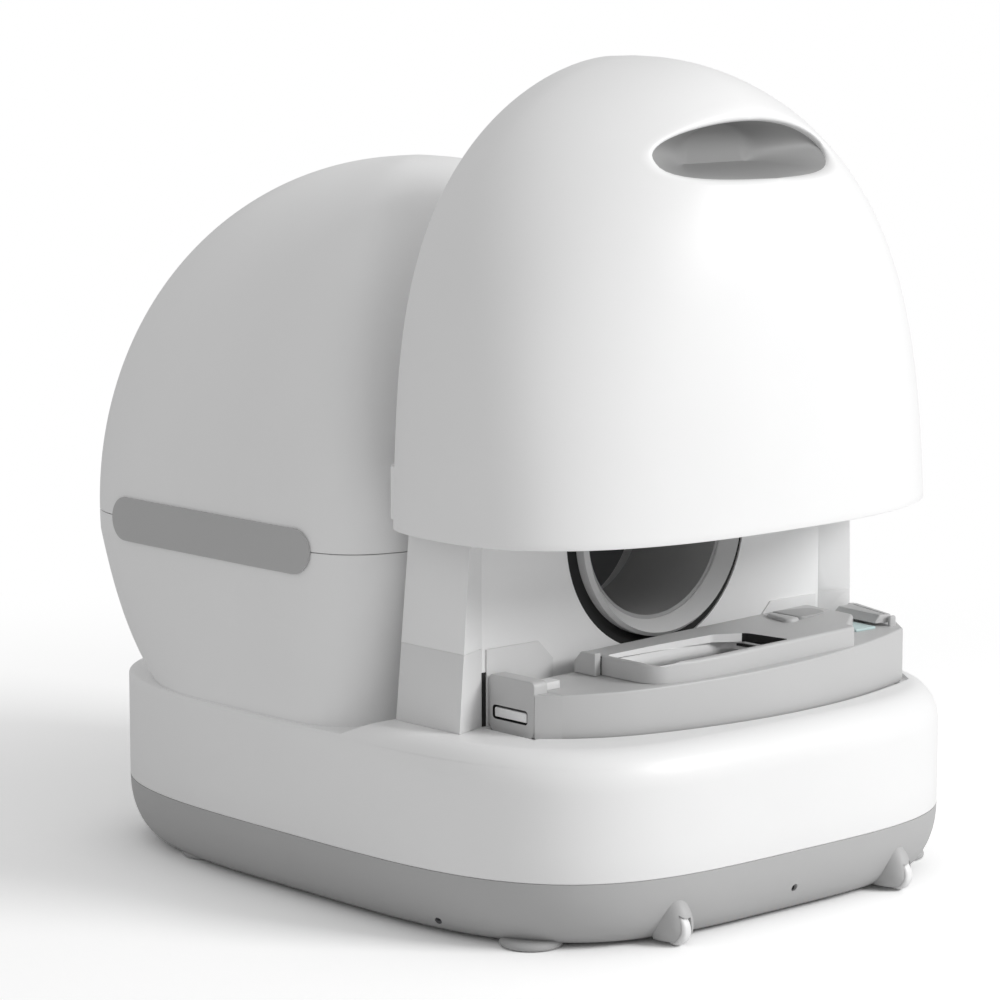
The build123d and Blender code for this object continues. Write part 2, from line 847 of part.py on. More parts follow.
# Motor with its gearbox, and its bracket on the pan
motor_radius = 19.0
motor_length = 46.0
bracket_thickness = 4.0
bracket_width = 40.0
bracket_top_z = 118.0
with BuildPart() as motor:
    with BuildSketch(gear_plane(pinion_x, pinion_z, motor_front_y)):
        Circle(motor_radius)
    extrude(amount=motor_length)
    with BuildSketch(gear_plane(pinion_x, pinion_z, motor_front_y)):
        Circle(shaft_radius + pin_gap)
    extrude(amount=shaft_out + running_gap, mode=Mode.SUBTRACT)
motor_back_y = motor_front_y - motor_length
with BuildPart() as motor_bracket:
    with BuildSketch(gear_plane(pinion_x, pan_bottom_z + base_wall, motor_back_y)):
        Rectangle(
            bracket_width,
            bracket_top_z - pan_bottom_z - base_wall,
            align=(Align.CENTER, Align.MIN),
        )
    extrude(amount=bracket_thickness)
    with BuildSketch(Plane.XY.offset(pan_bottom_z + base_wall)):
        with Locations((pinion_x, motor_back_y)):
            Rectangle(bracket_width, motor_length * 0.8, align=(Align.CENTER, Align.MIN))
    extrude(amount=bracket_thickness)

# Drum rollers, their axles and brackets
roller_gap = running_gap
roller_z = axis_z - math.sqrt(
    (drum_radius + roller_radius + roller_gap) ** 2 - roller_half_spread**2
)
roller_front_y = 40.0
roller_rear_y = 184.0
roller_plate = 3.5
roller_side_gap = 0.5
roller_plate_width = 20.0
roller_plate_top = 6.0


def drum_roller(x, y):
    """One roller with a bore for its axle and a slightly rounded tread."""
    with BuildPart() as roller:
        with BuildSketch(gear_plane(x, roller_z, y + roller_width / 2)):
            Circle(roller_radius)
        extrude(amount=roller_width)
        fillet(roller.edges(), roller_width / 10)
        with BuildSketch(gear_plane(x, roller_z, y + roller_width)):
            Circle(shaft_radius + pin_gap)
        extrude(amount=2 * roller_width, mode=Mode.SUBTRACT)
    return roller.part


with BuildPart() as roller_front_left:
    add(drum_roller(-roller_half_spread, roller_front_y))
with BuildPart() as roller_front_right:
    add(drum_roller(roller_half_spread, roller_front_y))
with BuildPart() as roller_rear_left:
    add(drum_roller(-roller_half_spread, roller_rear_y))
with BuildPart() as roller_rear_right:
    add(drum_roller(roller_half_spread, roller_rear_y))
plate_offset = roller_width / 2 + roller_side_gap + roller_plate / 2
with BuildPart() as roller_brackets:
    with BuildSketch(Plane.XY.offset(pan_bottom_z + base_wall)):
        for place_y in (roller_front_y, roller_rear_y):
            with Locations((-roller_half_spread, place_y), (roller_half_spread, place_y)):
                with GridLocations(0, 2 * plate_offset, 1, 2):
                    Rectangle(roller_plate_width, roller_plate)
    extrude(amount=roller_z + roller_plate_top - pan_bottom_z - base_wall)
    with BuildSketch(Plane.XY.offset(pan_bottom_z + base_wall)):
        for place_y in (roller_front_y, roller_rear_y):
            with Locations((-roller_half_spread, place_y), (roller_half_spread, place_y)):
                Rectangle(roller_plate_width, 2 * plate_offset + roller_plate)
    extrude(amount=roller_plate)
    for place_x in (-roller_half_spread, roller_half_spread):
        with BuildSketch(gear_plane(place_x, roller_z, base_half_length)):
            Circle(shaft_radius)
        extrude(amount=2 * base_half_length, mode=Mode.SUBTRACT)
with BuildPart() as roller_axles:
    for place_x in (-roller_half_spread, roller_half_spread):
        for place_y in (roller_front_y, roller_rear_y):
            with BuildSketch(
                gear_plane(place_x, roller_z, place_y + plate_offset + roller_plate)
            ):
                Circle(shaft_radius)
            extrude(amount=2 * plate_offset + 2 * roller_plate)

# Circuit board on the pan's posts, with a few parts on it
board_thickness = 1.6
chip_height = 4.0
with BuildPart() as circuit_board:
    with BuildSketch(Plane.XY.offset(post_top_z)):
        with Locations((board_x, board_y)):
            Rectangle(board_width, board_length)
    extrude(amount=board_thickness)
    with BuildSketch(Plane.XY.offset(post_top_z + board_thickness)):
        with Locations((board_x, board_y)):
            with GridLocations(board_width * 0.4, board_length * 0.3, 2, 3):
                Rectangle(board_width * 0.22, board_length * 0.14)
    extrude(amount=chip_height)

# Service wall with the port hole
wall_shoulder_z = 300.0
wall_top_z = 400.0
wall_top_half = 112.0
with BuildPart() as service_wall:
    with BuildSketch(Plane.XZ.offset(-wall_y)):
        with BuildLine():
            Line((wall_half_width, deck_z), (wall_half_width, wall_shoulder_z))
            Spline(
                (wall_half_width, wall_shoulder_z),
                (wall_top_half, wall_top_z - base_wall * 3),
                (0, wall_top_z),
                (-wall_top_half, wall_top_z - base_wall * 3),
                (-wall_half_width, wall_shoulder_z),
                tangents=((0, 1), (0, -1)),
            )
            Line((-wall_half_width, wall_shoulder_z), (-wall_half_width, deck_z))
            Line((-wall_half_width, deck_z), (wall_half_width, deck_z))
        make_face()
        with Locations((0, axis_z)):
            Circle(port_hole_radius, mode=Mode.SUBTRACT)
    extrude(amount=-wall_thickness)

# Port: the chute through the wall, its light ring and the dark seal behind it
chute_wall = 3.0
chute_inner_y = -60.0
port_front_y = wall_y - port_ring_proud
port_dish_y = wall_y + port_ring_proud / 5
chute_outer_y = port_dish_y + chute_wall / 2
ring_depth = 22.0
seal_depth = 6.0
with BuildPart() as chute:
    with BuildSketch(along_y(chute_outer_y)):
        Circle(chute_radius + chute_wall)
        Circle(chute_radius, mode=Mode.SUBTRACT)
    extrude(amount=chute_inner_y - chute_outer_y)
with BuildPart() as port_ring:
    with BuildSketch(drum_plane):
        with BuildLine():
            Polyline(
                (chute_radius + chute_wall, port_front_y + ring_depth),
                (chute_radius + chute_wall, port_dish_y),
                (port_ring_radius - chute_wall, port_front_y),
                (port_ring_radius, port_front_y + chute_wall),
                (port_ring_radius, port_front_y + ring_depth),
                close=True,
            )
        make_face()
    revolve(axis=drum_axis)
with BuildPart() as port_seal:
    with BuildSketch(along_y(wall_y + chute_wall / 2)):
        Circle(port_hole_radius)
        Circle(port_ring_radius, mode=Mode.SUBTRACT)
    extrude(amount=seal_depth)

# Guide columns beside the wall: hollow, in two pieces with a joint line
column_skin = 3.0
column_low = [(184.0, -150.0), (214.0, -159.0), (215.0, -87.0), (184.0, -87.0)]
column_high = [(184.0, -150.0), (206.5, -163.0), (205.0, -92.0), (184.0, -87.0)]


def column_face(height, inset):
    """Section of the right column at a height."""
    share = (height - deck_z) / (column_top_z - deck_z)
    corners = [
        (low[0] + (high[0] - low[0]) * share, low[1] + (high[1] - low[1]) * share)
        for low, high in zip(column_low, column_high)
    ]
    with BuildSketch(Plane.XY.offset(height)) as flat:
        with BuildLine():
            Polyline(*corners, close=True)
        make_face()
        if inset > 0:
            offset(amount=-inset, kind=Kind.INTERSECTION, mode=Mode.REPLACE)
    return flat.sketch.face()


def column_piece(low_z, high_z, closed):
    """A hollow length of the right column, with or without a lid."""
    lid = column_skin if closed else 0
    with BuildPart() as piece:
        loft([column_face(low_z, 0), column_face(high_z, 0)], ruled=True)
        loft(
            [column_face(low_z, column_skin), column_face(high_z - lid, column_skin)],
            ruled=True,
            mode=Mode.SUBTRACT,
        )
    return piece.part


with BuildPart() as column_right:
    add(column_piece(column_joint_z, column_top_z, True))
with BuildPart() as column_foot_right:
    add(column_piece(deck_z, column_joint_z, False))
with BuildPart() as column_left:
    add(column_right.part.mirror(Plane.YZ))
with BuildPart() as column_foot_left:
    add(column_foot_right.part.mirror(Plane.YZ))

# Guide tabs on the wall and the rails behind the columns
tab_outer_x = 180.0
tab_inner_x = 127.0
tab_slant_x = 112.0
tab_top_z = 209.0
tab_slant_z = 194.0
tab_proud = 1.8
with BuildPart() as guide_tabs:
    for side in (-1, 1):
        with BuildSketch(Plane.XZ.offset(-wall_y)):
            with BuildLine():
                Polyline(
                    (side * tab_outer_x, deck_z),
                    (side * tab_outer_x, tab_top_z),
                    (side * tab_inner_x, tab_top_z),
                    (side * tab_slant_x, tab_slant_z),
                    (side * tab_slant_x, deck_z),
                    close=True,
                )
            make_face()
        extrude(amount=tab_proud)
rail_inner_x = 186.0
rail_outer_x = 193.0
rail_front_y = -87.0
rail_back_y = -79.0
rail_top_z = 345.0
with BuildPart() as guide_rails:
    with BuildSketch(Plane.XY.offset(deck_z)):
        with Locations(
            ((rail_inner_x + rail_outer_x) / 2, (rail_front_y + rail_back_y) / 2),
            (-(rail_inner_x + rail_outer_x) / 2, (rail_front_y + rail_back_y) / 2),
        ):
            Rectangle(rail_outer_x - rail_inner_x, rail_back_y - rail_front_y)
    extrude(amount=rail_top_z - deck_z)

# Rear cover with its hand recess, the cup behind the recess, and the two runners
mouth_half = 96.0
mouth_low_z = 560.0
mouth_high_z = 605.0
cup_wall = 2.5
cup_back_y = -206.0
lip_round = 2.0
with BuildPart() as cover_body:
    loft(cover_layers(0, cover_rim_z))
with BuildPart() as cover_core:
    loft(cover_layers(cover_wall, cover_rim_z - cut_over))


def mouth_face(grow):
    """The hand recess as an oval with a flatter underside."""
    middle = (mouth_low_z + mouth_high_z) / 2
    with BuildSketch(Plane.XZ.offset(-cup_back_y)) as oval:
        with BuildLine():
            Spline(
                (mouth_half + grow, middle - grow / 2),
                (0, mouth_high_z + grow),
                (-mouth_half - grow, middle - grow / 2),
                (-mouth_half / 2, mouth_low_z - grow + lip_round),
                (0, mouth_low_z - grow),
                (mouth_half / 2, mouth_low_z - grow + lip_round),
                periodic=True,
            )
        make_face()
    return oval.sketch.face()


with BuildPart() as rear_cover:
    add(cover_body.part)
    add(cover_core.part, mode=Mode.SUBTRACT)
    with BuildSketch(Plane.XZ.offset(-cover_back_y)):
        with Locations((0, cover_top_z / 2)):
            Rectangle(3 * cover_half_width, 2 * cover_top_z)
    extrude(amount=-cover_top_z, mode=Mode.SUBTRACT)
    extrude(mouth_face(0), amount=cover_half_width, mode=Mode.SUBTRACT)
with BuildPart() as handle_cup:
    extrude(mouth_face(cup_wall), amount=cover_half_width)
    cup_hollow = mouth_face(0).moved(Location((0, -cup_wall, 0)))
    extrude(cup_hollow, amount=cover_half_width, mode=Mode.SUBTRACT)
    add(cover_core.part, mode=Mode.INTERSECT)
shoe_inner_x = rail_outer_x + running_gap
shoe_outer_x = 199.0
arm_inner_x = 217.0
arm_outer_x = 224.0
arm_front_y = -122.0
shoe_front_gap = 0.5
shoe_front_y = rail_front_y + shoe_front_gap
shoe_low_z = 305.0
shoe_high_z = 345.0
with BuildPart() as cover_runners:
    with BuildSketch(Plane.XY.offset(shoe_low_z)):
        with BuildLine():
            Polyline(
                (shoe_inner_x, shoe_front_y),
                (arm_inner_x, shoe_front_y),
                (arm_inner_x, arm_front_y),
                (cover_half_width, arm_front_y),
                (cover_half_width, cover_back_y),
                (arm_outer_x, cover_back_y),
                (arm_outer_x, rail_back_y),
                (shoe_inner_x, rail_back_y),
                close=True,
            )
        make_face()
    extrude(amount=shoe_high_z - shoe_low_z)
    with BuildSketch(Plane.XY.offset(shoe_low_z - cut_over)) as behind_cover:
        with Locations((0, cover_back_y)):
            Rectangle(2 * arm_outer_x, cover_half_width, align=(Align.CENTER, Align.MIN))
    cover_back_space = extrude(amount=cover_top_z, mode=Mode.PRIVATE)
    add(cover_core.part + cover_back_space, mode=Mode.INTERSECT)
    mirror(about=Plane.YZ)

# Waste bin: an open box that stands on the pan under the tray
bin_wall = 2.5
bin_top_drop = 4.0
bin_top_z = deck_z - bin_top_drop
with BuildPart() as waste_bin:
    with BuildSketch(Plane.XY.offset(pan_bottom_z + base_wall)):
        with Locations(((bin_left_x + bin_right_x) / 2, (bin_front_y + bin_back_y) / 2)):
            RectangleRounded(bin_right_x - bin_left_x, bin_back_y - bin_front_y, bin_corner)
    extrude(amount=bin_top_z - pan_bottom_z - base_wall)
    offset(amount=-bin_wall, openings=waste_bin.faces().sort_by(Axis.Z)[-1])

# Tray: hollow box with a sloped top and a bag opening
tray_skin = 3.0
tray_top = Plane(
    origin=(0, 0, tray_mid_top_z),
    x_dir=(math.cos(math.atan(tray_slope_share)), 0, math.sin(math.atan(tray_slope_share))),
    z_dir=(-math.sin(math.atan(tray_slope_share)), 0, math.cos(math.atan(tray_slope_share))),
)
mouth_left_x = -92.0
mouth_right_x = 86.0
mouth_back_y = -173.0
mouth_front_y = -239.0
mouth_corner = 12.0


def bag_mouth(grow):
    """Plan of the bag opening."""
    with BuildSketch() as plan:
        with Locations(((mouth_left_x + mouth_right_x) / 2, (mouth_back_y + mouth_front_y) / 2)):
            RectangleRounded(
                mouth_right_x - mouth_left_x + 2 * grow,
                mouth_back_y - mouth_front_y + 2 * grow,
                mouth_corner + grow,
            )
    return plan.sketch.face()


def upright(face, low_z, high_z):
    """A straight block over a plan face."""
    return extrude(face.moved(Location((0, 0, low_z))), amount=high_z - low_z, mode=Mode.PRIVATE)


sky_z = 2 * tray_mid_top_z
with BuildPart() as above_tray:
    with BuildSketch(tray_top):
        Rectangle(4 * base_half_width, 4 * base_half_length)
    extrude(amount=sky_z)
with BuildPart() as tray_frame:
    add(upright(tray_outline(0), tray_floor_z, sky_z))
    add(upright(tray_horn(0, cap_front_y - cap_gap), tray_floor_z, sky_z))
    fillet(
        tray_frame.edges().filter_by(Axis.Z).sort_by(Axis.X)[-3:],
        tray_edge_round,
    )
    add(above_tray.part, mode=Mode.SUBTRACT)
    add(
        upright(tray_outline(-tray_skin), tray_floor_z - cut_over, sky_z)
        - above_tray.part.moved(Location((0, 0, -tray_skin))),
        mode=Mode.SUBTRACT,
    )
    add(
        upright(bag_mouth(fit_gap + tray_skin), tray_floor_z, sky_z) - above_tray.part,
    )
    add(upright(bag_mouth(fit_gap), 0, sky_z), mode=Mode.SUBTRACT)

# End cap at the tray's left end, with its slot and latch slider
cap_top_rise = 5.0
slot_low_z = 159.0
slot_high_z = 167.0
slot_front_y = -195.5
slot_back_y = -159.5
slot_depth = 9.0
latch_gap = 0.4
latch_travel = 2.5
cap_round = 4.0
with BuildPart() as end_cap:
    with BuildSketch(Plane.XY.offset(tray_floor_z)):
        with Locations((cap_left_x, cap_front_y)):
            Rectangle(
                tray_left_x - cap_gap - cap_left_x,
                cap_back_y - cap_front_y,
                align=(Align.MIN, Align.MIN),
            )
    extrude(amount=tray_mid_top_z + cap_top_rise - tray_floor_z)
    cap_edges = end_cap.edges().filter_by(Axis.X)
    fillet(cap_edges.group_by(Axis.Z)[0], cap_round * 2)
    fillet(end_cap.edges().filter_by(Axis.X).group_by(Axis.Z)[-1], cap_round)
    with BuildSketch(Plane.YZ.offset(cap_left_x)):
        with Locations(((slot_front_y + slot_back_y) / 2, (slot_low_z + slot_high_z) / 2)):
            RectangleRounded(
                slot_back_y - slot_front_y, slot_high_z - slot_low_z, cap_round * 0.4
            )
    extrude(amount=slot_depth, mode=Mode.SUBTRACT)
with BuildPart() as end_latch:
    with BuildSketch(Plane.YZ.offset(cap_left_x + latch_gap)):
        with Locations(((slot_front_y + slot_back_y) / 2, (slot_low_z + slot_high_z) / 2)):
            RectangleRounded(
                slot_back_y - slot_front_y - 2 * latch_gap,
                slot_high_z - slot_low_z - 2 * latch_gap,
                cap_round * 0.3,
            )
    extrude(amount=slot_depth - latch_travel - 2 * latch_gap)

# Small pale window on the tray's top beside the cap
pad_x = -156.5
pad_y = -192.0
pad_length = 17.0
pad_width = 13.0
pad_height = 6.0
with BuildPart() as cap_window:
    with BuildSketch(tray_top):
        with Locations((pad_x, pad_y)):
            RectangleRounded(pad_length, pad_width, pad_width / 8)
    extrude(amount=pad_height)

# Bag ring: a raised band round the opening with a plateau for the button
ring_height = 15.5
ring_left_x = -104.0
ring_back_y = -166.5
ring_front_points = [(-88.0, -243.0), (10.0, -256.0), (120.0, -248.0)]
ring_right_points = [(142.0, -231.0), (148.0, -222.0), (153.0, -166.5)]
lug_height = 8.0
button_points = [(101.0, -210.0), (141.0, -205.0), (139.0, -176.0), (113.0, -176.0)]
ring_button_rise = 2.0
ring_button_sink = 5.0
ring_button_travel = 1.5
with BuildPart() as bag_ring:
    with BuildSketch(tray_top):
        with BuildLine():
            left_line = Line(
                (ring_left_x, ring_back_y),
                (ring_left_x, ring_front_points[0][1] + mouth_corner * 2),
            )
            corner = TangentArc(left_line @ 1, ring_front_points[0], tangent=left_line % 1)
            bow = ThreePointArc(corner @ 1, ring_front_points[1], ring_front_points[2])
            Polyline(bow @ 1, *ring_right_points, left_line @ 0)
        make_face()
    extrude(amount=ring_height)
    add(upright(bag_mouth(fit_gap), 0, sky_z), mode=Mode.SUBTRACT)
    with BuildSketch(tray_top.offset(ring_height)):
        with BuildLine():
            Polyline(*button_points, close=True)
        make_face()
        offset(amount=running_gap, mode=Mode.REPLACE)
    extrude(amount=-ring_button_sink - ring_button_travel - running_gap, mode=Mode.SUBTRACT)
    with BuildSketch(tray_top.offset(ring_height)):
        with Locations((ring_left_x / 2 + mouth_left_x / 2, (ring_back_y + mouth_back_y) / 2)):
            Rectangle((mouth_left_x - ring_left_x) * 0.8, (ring_back_y - mouth_back_y) * 0.8)
    extrude(amount=lug_height)
with BuildPart() as ring_button:
    with BuildSketch(tray_top.offset(ring_height - ring_button_sink)):
        with BuildLine():
            Polyline(*button_points, close=True)
        make_face()
    extrude(amount=ring_button_sink + ring_button_rise)
    fillet(ring_button.faces().sort_by(Axis.Z)[-1].edges(), ring_button_rise / 3)

# Bag: a thin open box that hangs from the ring into the bin
bag_skin = 1.0
bag_gap = 0.3
bag_low_z = 30.0
with BuildPart() as bag_liner:
    add(
        upright(bag_mouth(-bag_gap + fit_gap), bag_low_z, sky_z)
        - above_tray.part.moved(Location((0, 0, ring_height / 2)))
    )
    add(
        upright(bag_mouth(-bag_gap + fit_gap - bag_skin), bag_low_z + bag_skin, sky_z),
        mode=Mode.SUBTRACT,
    )

# Clamp bar at the tray's right end, its pin and lugs, and the clear strip beside it
bar_back_y = -169.0
bar_front_y = -225.0
bar_outer_back_x = 210.0
bar_outer_front_x = 193.0
bar_inner_back_x = 180.0
bar_inner_front_x = 176.0
bar_thickness = 6.4
bar_lift = 2.4
pin_radius = 1.6
lug_gap = 0.4
lug_length = 4.0
strip_points = [(157.0, -169.0), (176.5, -169.0), (172.5, -224.0), (152.0, -222.0)]
strip_thickness = 2.0
hinge_run_x = bar_outer_back_x - bar_outer_front_x
hinge_run_y = bar_back_y - bar_front_y
hinge_length = math.hypot(hinge_run_x, hinge_run_y)
bar_front_width = bar_outer_front_x - bar_inner_front_x
bar_inner_front_y = bar_front_y + bar_front_width * hinge_run_x / hinge_run_y
pin_inset = bar_thickness / 2
pin_plane_origin = (
    bar_outer_front_x - pin_inset * hinge_run_y / hinge_length,
    bar_front_y + pin_inset * hinge_run_x / hinge_length,
    bar_lift + bar_thickness / 2,
)
hinge_plane = Plane(
    origin=tray_top.from_local_coords(pin_plane_origin),
    x_dir=tray_top.z_dir,
    z_dir=tray_top.x_dir * (hinge_run_x / hinge_length)
    + tray_top.y_dir * (hinge_run_y / hinge_length),
)
print("hinge", hinge_plane.origin, hinge_plane.z_dir)
with BuildPart() as seal_strip:
    with BuildSketch(tray_top):
        with BuildLine():
            Polyline(*strip_points, close=True)
        make_face()
    extrude(amount=strip_thickness)
with BuildPart() as clamp_bar:
    with BuildSketch(tray_top.offset(bar_lift)):
        with BuildLine():
            Polyline(
                (bar_outer_back_x, bar_back_y),
                (bar_outer_front_x, bar_front_y),
                (bar_inner_front_x, bar_inner_front_y),
                (bar_inner_back_x, bar_back_y),
                close=True,
            )
        make_face()
    extrude(amount=bar_thickness)
    long_edges = [
        edge
        for edge in clamp_bar.edges().sort_by(Axis.X)
        if abs(edge.length - hinge_length) < pin_gap
    ]
    fillet(long_edges, bar_thickness * 0.48)
    with BuildSketch(hinge_plane.offset(-lug_length)):
        Circle(pin_radius + pin_gap)
    extrude(amount=hinge_length + 2 * lug_length, mode=Mode.SUBTRACT)
with BuildPart() as clamp_pin:
    with BuildSketch(hinge_plane.offset(-lug_length)):
        Circle(pin_radius)
    extrude(amount=hinge_length + 2 * lug_length)
with tray_frame:
    for offset_share in (0, 1):
        lug_start = -lug_gap - lug_length if offset_share == 0 else hinge_length + lug_gap
        with BuildSketch(hinge_plane.offset(lug_start)):
            with Locations((-bar_thickness / 4 - bar_lift / 2, 0)):
                Rectangle(bar_thickness * 1.5 + bar_lift, 2 * pin_inset)
        extrude(amount=lug_length)
    with BuildSketch(hinge_plane.offset(-lug_length - lug_gap)):
        Circle(pin_radius)
    extrude(amount=hinge_length + 2 * lug_length + 2 * lug_gap, mode=Mode.SUBTRACT)

nodes = {
    "base_pan": base_pan,
    "pan_screws": pan_screws,
    "rubber_feet": rubber_feet,
    "caster_housings": caster_housings,
    "caster_axles": caster_axles,
    "caster_wheel_left": caster_wheel_left,
    "caster_wheel_right": caster_wheel_right,
    "load_cells": load_cells,
    "base_housing": base_housing,
    "control_panel": control_panel,
    "display_window": display_window,
    "button_left": button_left,
    "button_right": button_right,
    "power_inlet": power_inlet,
    "lower_shell": lower_shell,
    "upper_shell": upper_shell,
    "side_strip_left": side_strip_left,
    "side_strip_right": side_strip_right,
    "entrance_ring": entrance_ring,
    "sensor_window": sensor_window,
    "drum_shell": drum_shell,
    "drum_rear": drum_rear,
    "drum_liner": drum_liner,
    "sieve": sieve,
    "ring_gear": ring_gear,
    "pinion": pinion,
    "motor": motor,
    "motor_bracket": motor_bracket,
    "roller_front_left": roller_front_left,
    "roller_front_right": roller_front_right,
    "roller_rear_left": roller_rear_left,
    "roller_rear_right": roller_rear_right,
    "roller_brackets": roller_brackets,
    "roller_axles": roller_axles,
    "circuit_board": circuit_board,
    "service_wall": service_wall,
    "chute": chute,
    "port_ring": port_ring,
    "port_seal": port_seal,
    "column_left": column_left,
    "column_right": column_right,
    "column_foot_left": column_foot_left,
    "column_foot_right": column_foot_right,
    "guide_tabs": guide_tabs,
    "guide_rails": guide_rails,
    "rear_cover": rear_cover,
    "handle_cup": handle_cup,
    "cover_runners": cover_runners,
    "waste_bin": waste_bin,
    "tray_frame": tray_frame,
    "end_cap": end_cap,
    "end_latch": end_latch,
    "cap_window": cap_window,
    "bag_ring": bag_ring,
    "ring_button": ring_button,
    "bag_liner": bag_liner,
    "seal_strip": seal_strip,
    "clamp_bar": clamp_bar,
    "clamp_pin": clamp_pin,
}
for name, builder in nodes.items():
    builder.part.label = name
    export_step(builder.part, f"parts/{name}.step")
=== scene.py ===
# Self cleaning litter box: a white housing round a turning drum, on a grey tub,
# with its rear cover lifted off the bagging tray. Metres; X = 0 is the middle plane,
# -Y is the waste side and Z = 0 the floor.
import math

import bmesh
import bpy
from mathutils import Matrix, Vector, noise


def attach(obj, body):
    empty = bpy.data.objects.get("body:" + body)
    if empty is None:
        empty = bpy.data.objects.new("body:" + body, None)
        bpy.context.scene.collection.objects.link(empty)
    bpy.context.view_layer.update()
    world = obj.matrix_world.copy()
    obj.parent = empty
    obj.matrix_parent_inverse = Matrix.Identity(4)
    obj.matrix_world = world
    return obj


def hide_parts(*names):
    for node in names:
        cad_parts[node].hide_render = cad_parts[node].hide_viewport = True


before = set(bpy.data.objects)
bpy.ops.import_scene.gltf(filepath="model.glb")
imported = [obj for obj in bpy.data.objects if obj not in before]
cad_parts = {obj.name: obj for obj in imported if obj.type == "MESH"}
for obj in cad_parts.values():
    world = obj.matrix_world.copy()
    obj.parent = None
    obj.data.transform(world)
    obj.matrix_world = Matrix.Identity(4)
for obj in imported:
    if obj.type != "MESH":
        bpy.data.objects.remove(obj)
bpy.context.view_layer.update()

# Camera: the photograph's view, from the waste side's left and a little above.
# The lens is long, and its axis meets the frame slightly above the middle.
camera_place = Vector((-2.04184, -2.22438, 0.74951))
camera_aim = Vector((-0.029557, 0, 0.303021))
camera_data = bpy.data.cameras.new("camera")
camera_data.sensor_width = 36
camera_data.lens = 136.01
camera_data.shift_y = -0.01606
camera_data.clip_end = 100
camera = bpy.data.objects.new("camera", camera_data)
camera.matrix_world = (
    Matrix.Translation(camera_place)
    @ (camera_aim - camera_place).to_track_quat("-Z", "Y").to_matrix().to_4x4()
)
bpy.context.scene.collection.objects.link(camera)
bpy.context.scene.camera = camera
bpy.context.scene.view_settings.view_transform = "Standard"

# Studio light: one broad soft lamp to the right of the waste side, a weak one
# above, and a pale world that fills the rest.


def soft_lamp(name, place, aim, width, height, watts):
    """A rectangular lamp at a place, turned towards a point."""
    data = bpy.data.lights.new(name, "AREA")
    data.shape = "RECTANGLE"
    data.size = width
    data.size_y = height
    data.energy = watts
    lamp = bpy.data.objects.new(name, data)
    place, aim = Vector(place), Vector(aim)
    turn = (aim - place).to_track_quat("-Z", "Y").to_matrix().to_4x4()
    lamp.matrix_world = Matrix.Translation(place) @ turn
    bpy.context.scene.collection.objects.link(lamp)


soft_lamp("key_lamp", (1.5, -3.1, 2.1), (0, -0.1, 0.3), 1.4, 1.4, 82)
soft_lamp("top_lamp", (0.2, 0.2, 3.4), (0, 0, 0.2), 2.4, 2.4, 8)


def linear(hex_colour):
    """Linear colour of an sRGB hex value such as F2F2F2."""
    parts = [int(hex_colour[i : i + 2], 16) / 255 for i in (0, 2, 4)]
    out = [p / 12.92 if p <= 0.04045 else ((p + 0.055) / 1.055) ** 2.4 for p in parts]
    return (*out, 1)


def add_node(tree, kind, settings=None, links=None):
    """Adds a node, sets its sockets and properties, and links its inputs."""
    node = tree.nodes.new(kind)
    for key, value in (settings or {}).items():
        if isinstance(key, str) and hasattr(node, key):
            setattr(node, key, value)
        else:
            node.inputs[key].default_value = value
    for key, source in (links or {}).items():
        tree.links.new(source, node.inputs[key])
    return node


world = bpy.data.worlds.new("studio")
bpy.context.scene.world = world
world.use_nodes = True
sky = world.node_tree
sky.nodes.clear()
fill_light = add_node(sky, "ShaderNodeBackground", {"Color": linear("FFFFFF"), "Strength": 0.51})
white_backdrop = add_node(sky, "ShaderNodeBackground", {"Color": linear("FFFFFF"), "Strength": 1.0})
ray = add_node(sky, "ShaderNodeLightPath")
sky_mix = add_node(
    sky,
    "ShaderNodeMixShader",
    None,
    {0: ray.outputs["Is Camera Ray"], 1: fill_light.outputs[0], 2: white_backdrop.outputs[0]},
)
add_node(sky, "ShaderNodeOutputWorld", None, {0: sky_mix.outputs[0]})

# Floor: a plain white studio floor that takes the soft shadow of the box. Away from
# the box it runs over into the white backdrop, so that no horizon shows.
floor_mesh = bmesh.new()
bmesh.ops.create_grid(floor_mesh, x_segments=1, y_segments=1, size=40)
floor_data = bpy.data.meshes.new("floor")
floor_mesh.to_mesh(floor_data)
floor_mesh.free()
floor = bpy.data.objects.new("floor", floor_data)
floor.location.z = -0.0005
bpy.context.scene.collection.objects.link(floor)
floor_paint = bpy.data.materials.new("matt_studio_floor")
floor_paint.use_nodes = True
boards = floor_paint.node_tree
boards.nodes.clear()
floor_place = add_node(boards, "ShaderNodeTexCoord").outputs["Object"]
floor_reach = add_node(boards, "ShaderNodeVectorMath", {"operation": "LENGTH"}, {0: floor_place})
floor_far = add_node(
    boards,
    "ShaderNodeMapRange",
    {"interpolation_type": "SMOOTHSTEP", "From Min": 0.45, "From Max": 1.3},
    {"Value": floor_reach.outputs["Value"]},
)
floor_matt = add_node(boards, "ShaderNodeBsdfDiffuse", {"Color": linear("E6E6E6")})
floor_seen = add_node(boards, "ShaderNodeBsdfDiffuse", {"Color": (1.22, 1.22, 1.22, 1)})
floor_glow = add_node(boards, "ShaderNodeEmission", {"Color": (1, 1, 1, 1), "Strength": 1.0})
floor_view = add_node(
    boards,
    "ShaderNodeMixShader",
    None,
    {0: floor_far.outputs[0], 1: floor_seen.outputs[0], 2: floor_glow.outputs[0]},
)
floor_ray = add_node(boards, "ShaderNodeLightPath")
floor_mix = add_node(
    boards,
    "ShaderNodeMixShader",
    None,
    {0: floor_ray.outputs["Is Camera Ray"], 1: floor_matt.outputs[0], 2: floor_view.outputs[0]},
)
add_node(boards, "ShaderNodeOutputMaterial", None, {0: floor_mix.outputs[0]})
floor_data.materials.append(floor_paint)


